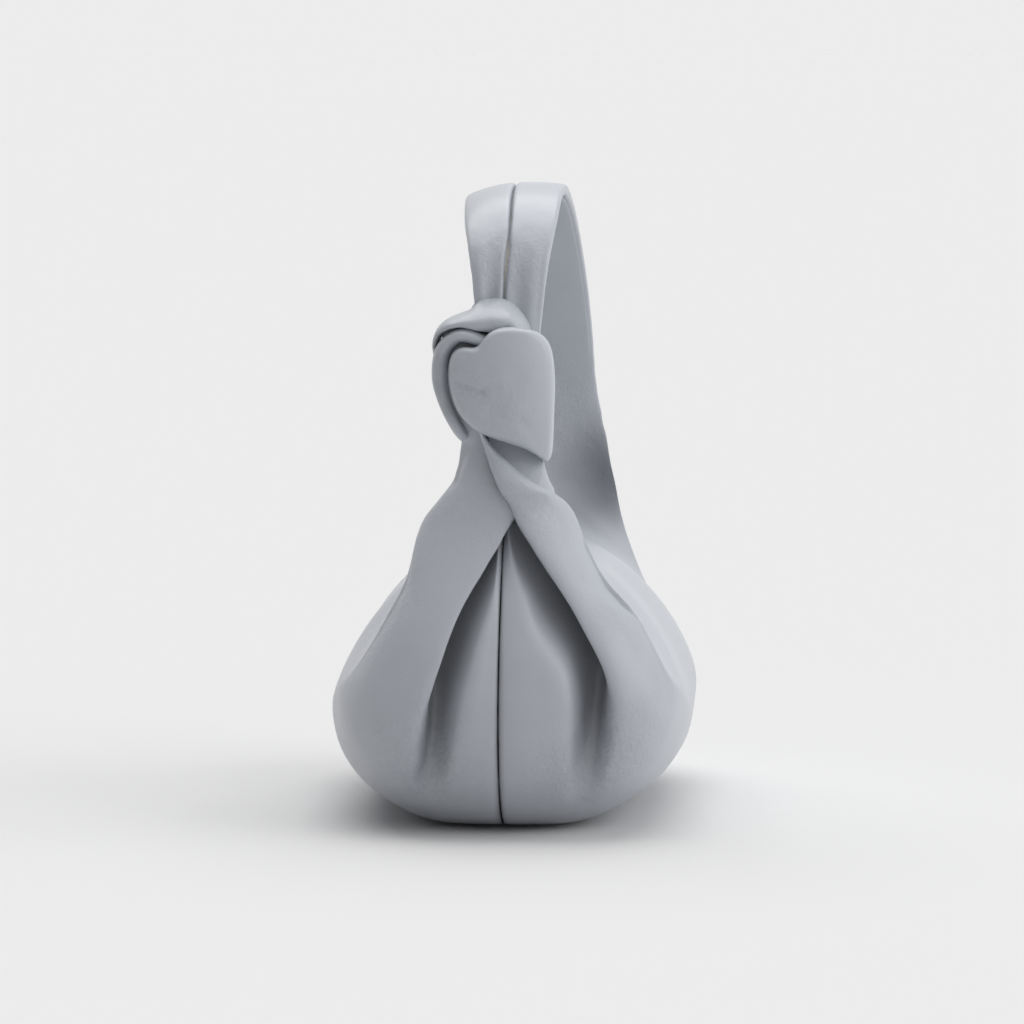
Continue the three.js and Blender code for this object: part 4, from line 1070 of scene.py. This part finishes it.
# The roll behind the front one, a roof over it: its front rim, its back and its half thickness.
BACK_ROOF = [
    ((9, 7, 4), (13, 8, -8), 2.5), ((8, 15.9, 10.2), (12.8, 14.2, -8.3), 3),
    ((5, 17, 11.5), (7.6, 22.1, -8.4), 3.6), ((2.4, 16.3, 12.2), (3.2, 24.8, -8.6), 4.2),
    ((-1.6, 15.9, 12.2), (-2.2, 25, -7.6), 4.2), ((-4.9, 16, 12), (-6.8, 24, -6), 3.7),
    ((-8.8, 17, 11.3), (-10, 21.6, -6), 2.9), ((-13.3, 17.1, 10), (-14.3, 20.2, -6), 2),
    ((-18.3, 16.1, 8), (-18.4, 17.8, -6), 2), ((-21.8, 13.8, 5), (-21, 14.8, -6), 1.7),
    ((-23.4, 9.8, 3), (-23, 9.4, -7), 1.5), ((-23.2, 4.9, 0), (-22.6, 4, -8), 1.5),
    ((-20.5, -2, -3), (-20.5, -3, -9), 1.8), ((-15, -7, -3), (-15, -8, -9), 2),
    ((-6, -9, -1), (-6, -10, -7), 2), ((3, -8, 0), (3, -9, -5), 2),
]
BACK_ROLL = []
for rim, back, half_thick in BACK_ROOF:
    width = Vector(back) - Vector(rim)
    BACK_ROLL.append((*(Vector(rim) + width / 2), width.length / 2, half_thick, tuple(width)))
# The strap's way out, up behind both rolls.
KNOT_EXIT = [
    (-8, -4, 7, 12, 3.4, DOWN),
    (-9, 3, 0, 10, 3.5, (-0.5, -0.8, 0)),
    (-3, 14, -5, 11, 3, (-0.9, -0.3, 0)),
    (4, 23, -7.5, 12, 2.2, (-1, 0, 0)),
]
# What lies bunched inside.
KNOT_CORE = [
    (1, -32, -3, 12, 5, ACROSS),
    (-0.5, -22, -1, 13.5, 5.5, ACROSS),
    (-2.5, -14, 0, 16, 6, ACROSS),
    (-4, -6, 0, 17, 6.5, ACROSS),
    (-4.5, 0, 0, 17, 6.5, ACROSS),
    (-6.5, 8, 0, 15, 5, ACROSS),
    (-9, 14, -0.5, 13, 4.5, ACROSS),
    (-9.5, 18, -1, 10, 3.5, ACROSS),
]
# The front: its outline from the notch on the left over the top and right round to the left again.
FRONT_OUTLINE = [
    (-5.9, 9), (-4.6, 11), (-3, 13.2), (-1, 15), (2.6, 16.7), (8.5, 17), (14.9, 16), (19.6, 13.4), (22.4, 9),
    (23.6, 2), (24.1, -6), (23.4, -20), (23, -33), (21.4, -38), (17.4, -34), (11, -30.2), (1, -27.6),
    (-8.4, -23.8), (-15, -16), (-17.6, -7.6), (-17.9, -0.3), (-17.4, 4.3), (-15.6, 7.3),
    (-12.4, 9), (-8.6, 8.5),
]
FRONT_MIDDLE = (4.0, -5.0)
# From the tucked-in back to the middle of the face: how far in from the outline, and how far out.
FRONT_PUFF = [(6, -7), (2.2, -6), (0.5, -4), (0, -1.6), (0.5, 0.7), (1.7, 2.0), (2.9, 2.3), (5, 2.5),
              (9, 2.6)]
# The inner rings turn into an oval: its half sizes, how fast it shrinks, and at which insets.
OVAL_HALF, OVAL_SHRINK, OVAL_INSETS = (17, 21), 24, (2.5, 9)
# The face bends round the knot: its most forward place, how far out that is, and how it falls away.
FACE_AT, FACE_OUT, MIDDLE_OUT = (5, -6), 17.5, 20.1
BEND_LEFT, BEND_RIGHT, BEND_UP = 0.014, 0.022, 0.004
# How far back the right edge is wrapped, and over which stretch across and through.
FRONT_WRAP, WRAP_ACROSS, WRAP_BACK = 13.0, (14, 23), (-1, 7)


def front_rings():
    """A cushion inside the front's outline, bent round the knot and carried back on its right."""
    rings = []
    for inset, puff in FRONT_PUFF:
        ring = []
        for u, v in FRONT_OUTLINE:
            away = hypot(u - FRONT_MIDDLE[0], v - FRONT_MIDDLE[1])
            turn = atan2(v - FRONT_MIDDLE[1], u - FRONT_MIDDLE[0])
            oval = hypot(cos(turn) / OVAL_HALF[0], sin(turn) / OVAL_HALF[1])
            oval = (1 - inset / OVAL_SHRINK) / oval
            reach = lerp(max(away - inset, 1), oval, ease(inset, *OVAL_INSETS))
            across, up = FRONT_MIDDLE[0] + reach * cos(turn), FRONT_MIDDLE[1] + reach * sin(turn)
            wrapped = FRONT_WRAP * ease(u, *WRAP_ACROSS) * ease(-puff, *WRAP_BACK)
            bend = BEND_RIGHT if across > FACE_AT[0] else BEND_LEFT
            out = FACE_OUT - bend * (across - FACE_AT[0]) ** 2 - BEND_UP * (up - FACE_AT[1]) ** 2
            out = out + puff - wrapped
            ring.append(KNOT_AT + Vector((out, across, up)))
        rings.append(ring)
    middle = KNOT_AT + Vector((MIDDLE_OUT, *FRONT_MIDDLE))
    return rings + [[p.lerp(middle, share) for p in rings[-1]] for share in (0.45, 0.85)]


def smooth_route(values, at):
    """A Catmull-Rom curve through the rows of a table."""
    last = len(values) - 1
    k = min(int(at), last - 1)
    t = at - k
    a, b, c, d = (values[min(max(k + n, 0), last)] for n in (-1, 0, 1, 2))
    return [0.5 * (2 * q + (r - p) * t + (2 * p - 5 * q + 4 * r - s) * t * t
                   + (3 * q - p - 3 * r + s) * t**3) for p, q, r, s in zip(a, b, c, d)]


# Wide bands are squarer in section: which half widths, and how square across and through.
SQUARE_WIDTHS, SQUARE_ACROSS, SQUARE_THROUGH = (6, 12), 0.75, 0.65
ROUTE_STEP = 0.02


def band_rings(route, steps, sides):
    """Rings of a bunched band along a route."""
    table = [(KNOT_AT.x + out, KNOT_AT.y + across, KNOT_AT.z + up, half, thick, lie[2], lie[0], lie[1])
             for across, up, out, half, thick, lie in route]
    rings = []
    for k in range(steps + 1):
        at = k / steps * (len(table) - 1)
        here = smooth_route(table, at)
        ahead = Vector(smooth_route(table, min(at + ROUTE_STEP, len(table) - 1))[:3])
        behind = Vector(smooth_route(table, max(at - ROUTE_STEP, 0))[:3])
        along = (ahead - behind).normalized()
        width = Vector(here[5:8])
        width = (width - along * width.dot(along)).normalized()
        thick = along.cross(width)
        ring = []
        flat = ease(here[3], *SQUARE_WIDTHS)
        for j in range(sides):
            turn = 2 * pi * j / sides
            ring.append(Vector(here[:3])
                        + width * here[3] * keep_sign(cos(turn), lerp(1, SQUARE_ACROSS, flat))
                        + thick * here[4] * keep_sign(sin(turn), lerp(1, SQUARE_THROUGH, flat)))
        rings.append(ring)
    return rings


# The grooves between front and roll and between the two rolls, each painted with a dark line of shade:
# across, up and out.
GROOVES = [
    [(-4.4, 11.4, 6), (-5.9, 9.6, 5), (-8.6, 9.3, 5), (-12.4, 9.8, 4.5), (-16, 8, 3.5),
     (-18, 4.4, 3), (-18.5, -1, 2.5), (-18.2, -7, 2.5), (-16.8, -13, 2.5), (-13.6, -20, 2.5),
     (-10.2, -24.5, 1)],
    [(-2.5, 14.4, 5), (-5, 13.6, 5.5), (-9, 15, 5.5), (-13.3, 15.6, 5), (-17.6, 14.4, 4),
     (-20.6, 11.8, 3), (-22.4, 8.6, 2)],
]
grooves = []
for line in GROOVES:
    points = [KNOT_AT + Vector((out, across, up)) for across, up, out in line]
    grooves += list(zip(points, points[1:]))
knot = tube_mesh("strap_knot", [
    band_rings(KNOT_ROUTE, steps=90, sides=20), band_rings(BACK_ROLL, steps=40, sides=18),
    band_rings(KNOT_EXIT, steps=12, sides=16), band_rings(KNOT_CORE, steps=12, sides=16), front_rings(),
])
finish_soft(knot, 2, nappa)
wrinkle(knot, grooves)
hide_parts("knot")
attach(knot, "strap")
print(knot.name, len(knot.data.polygons))
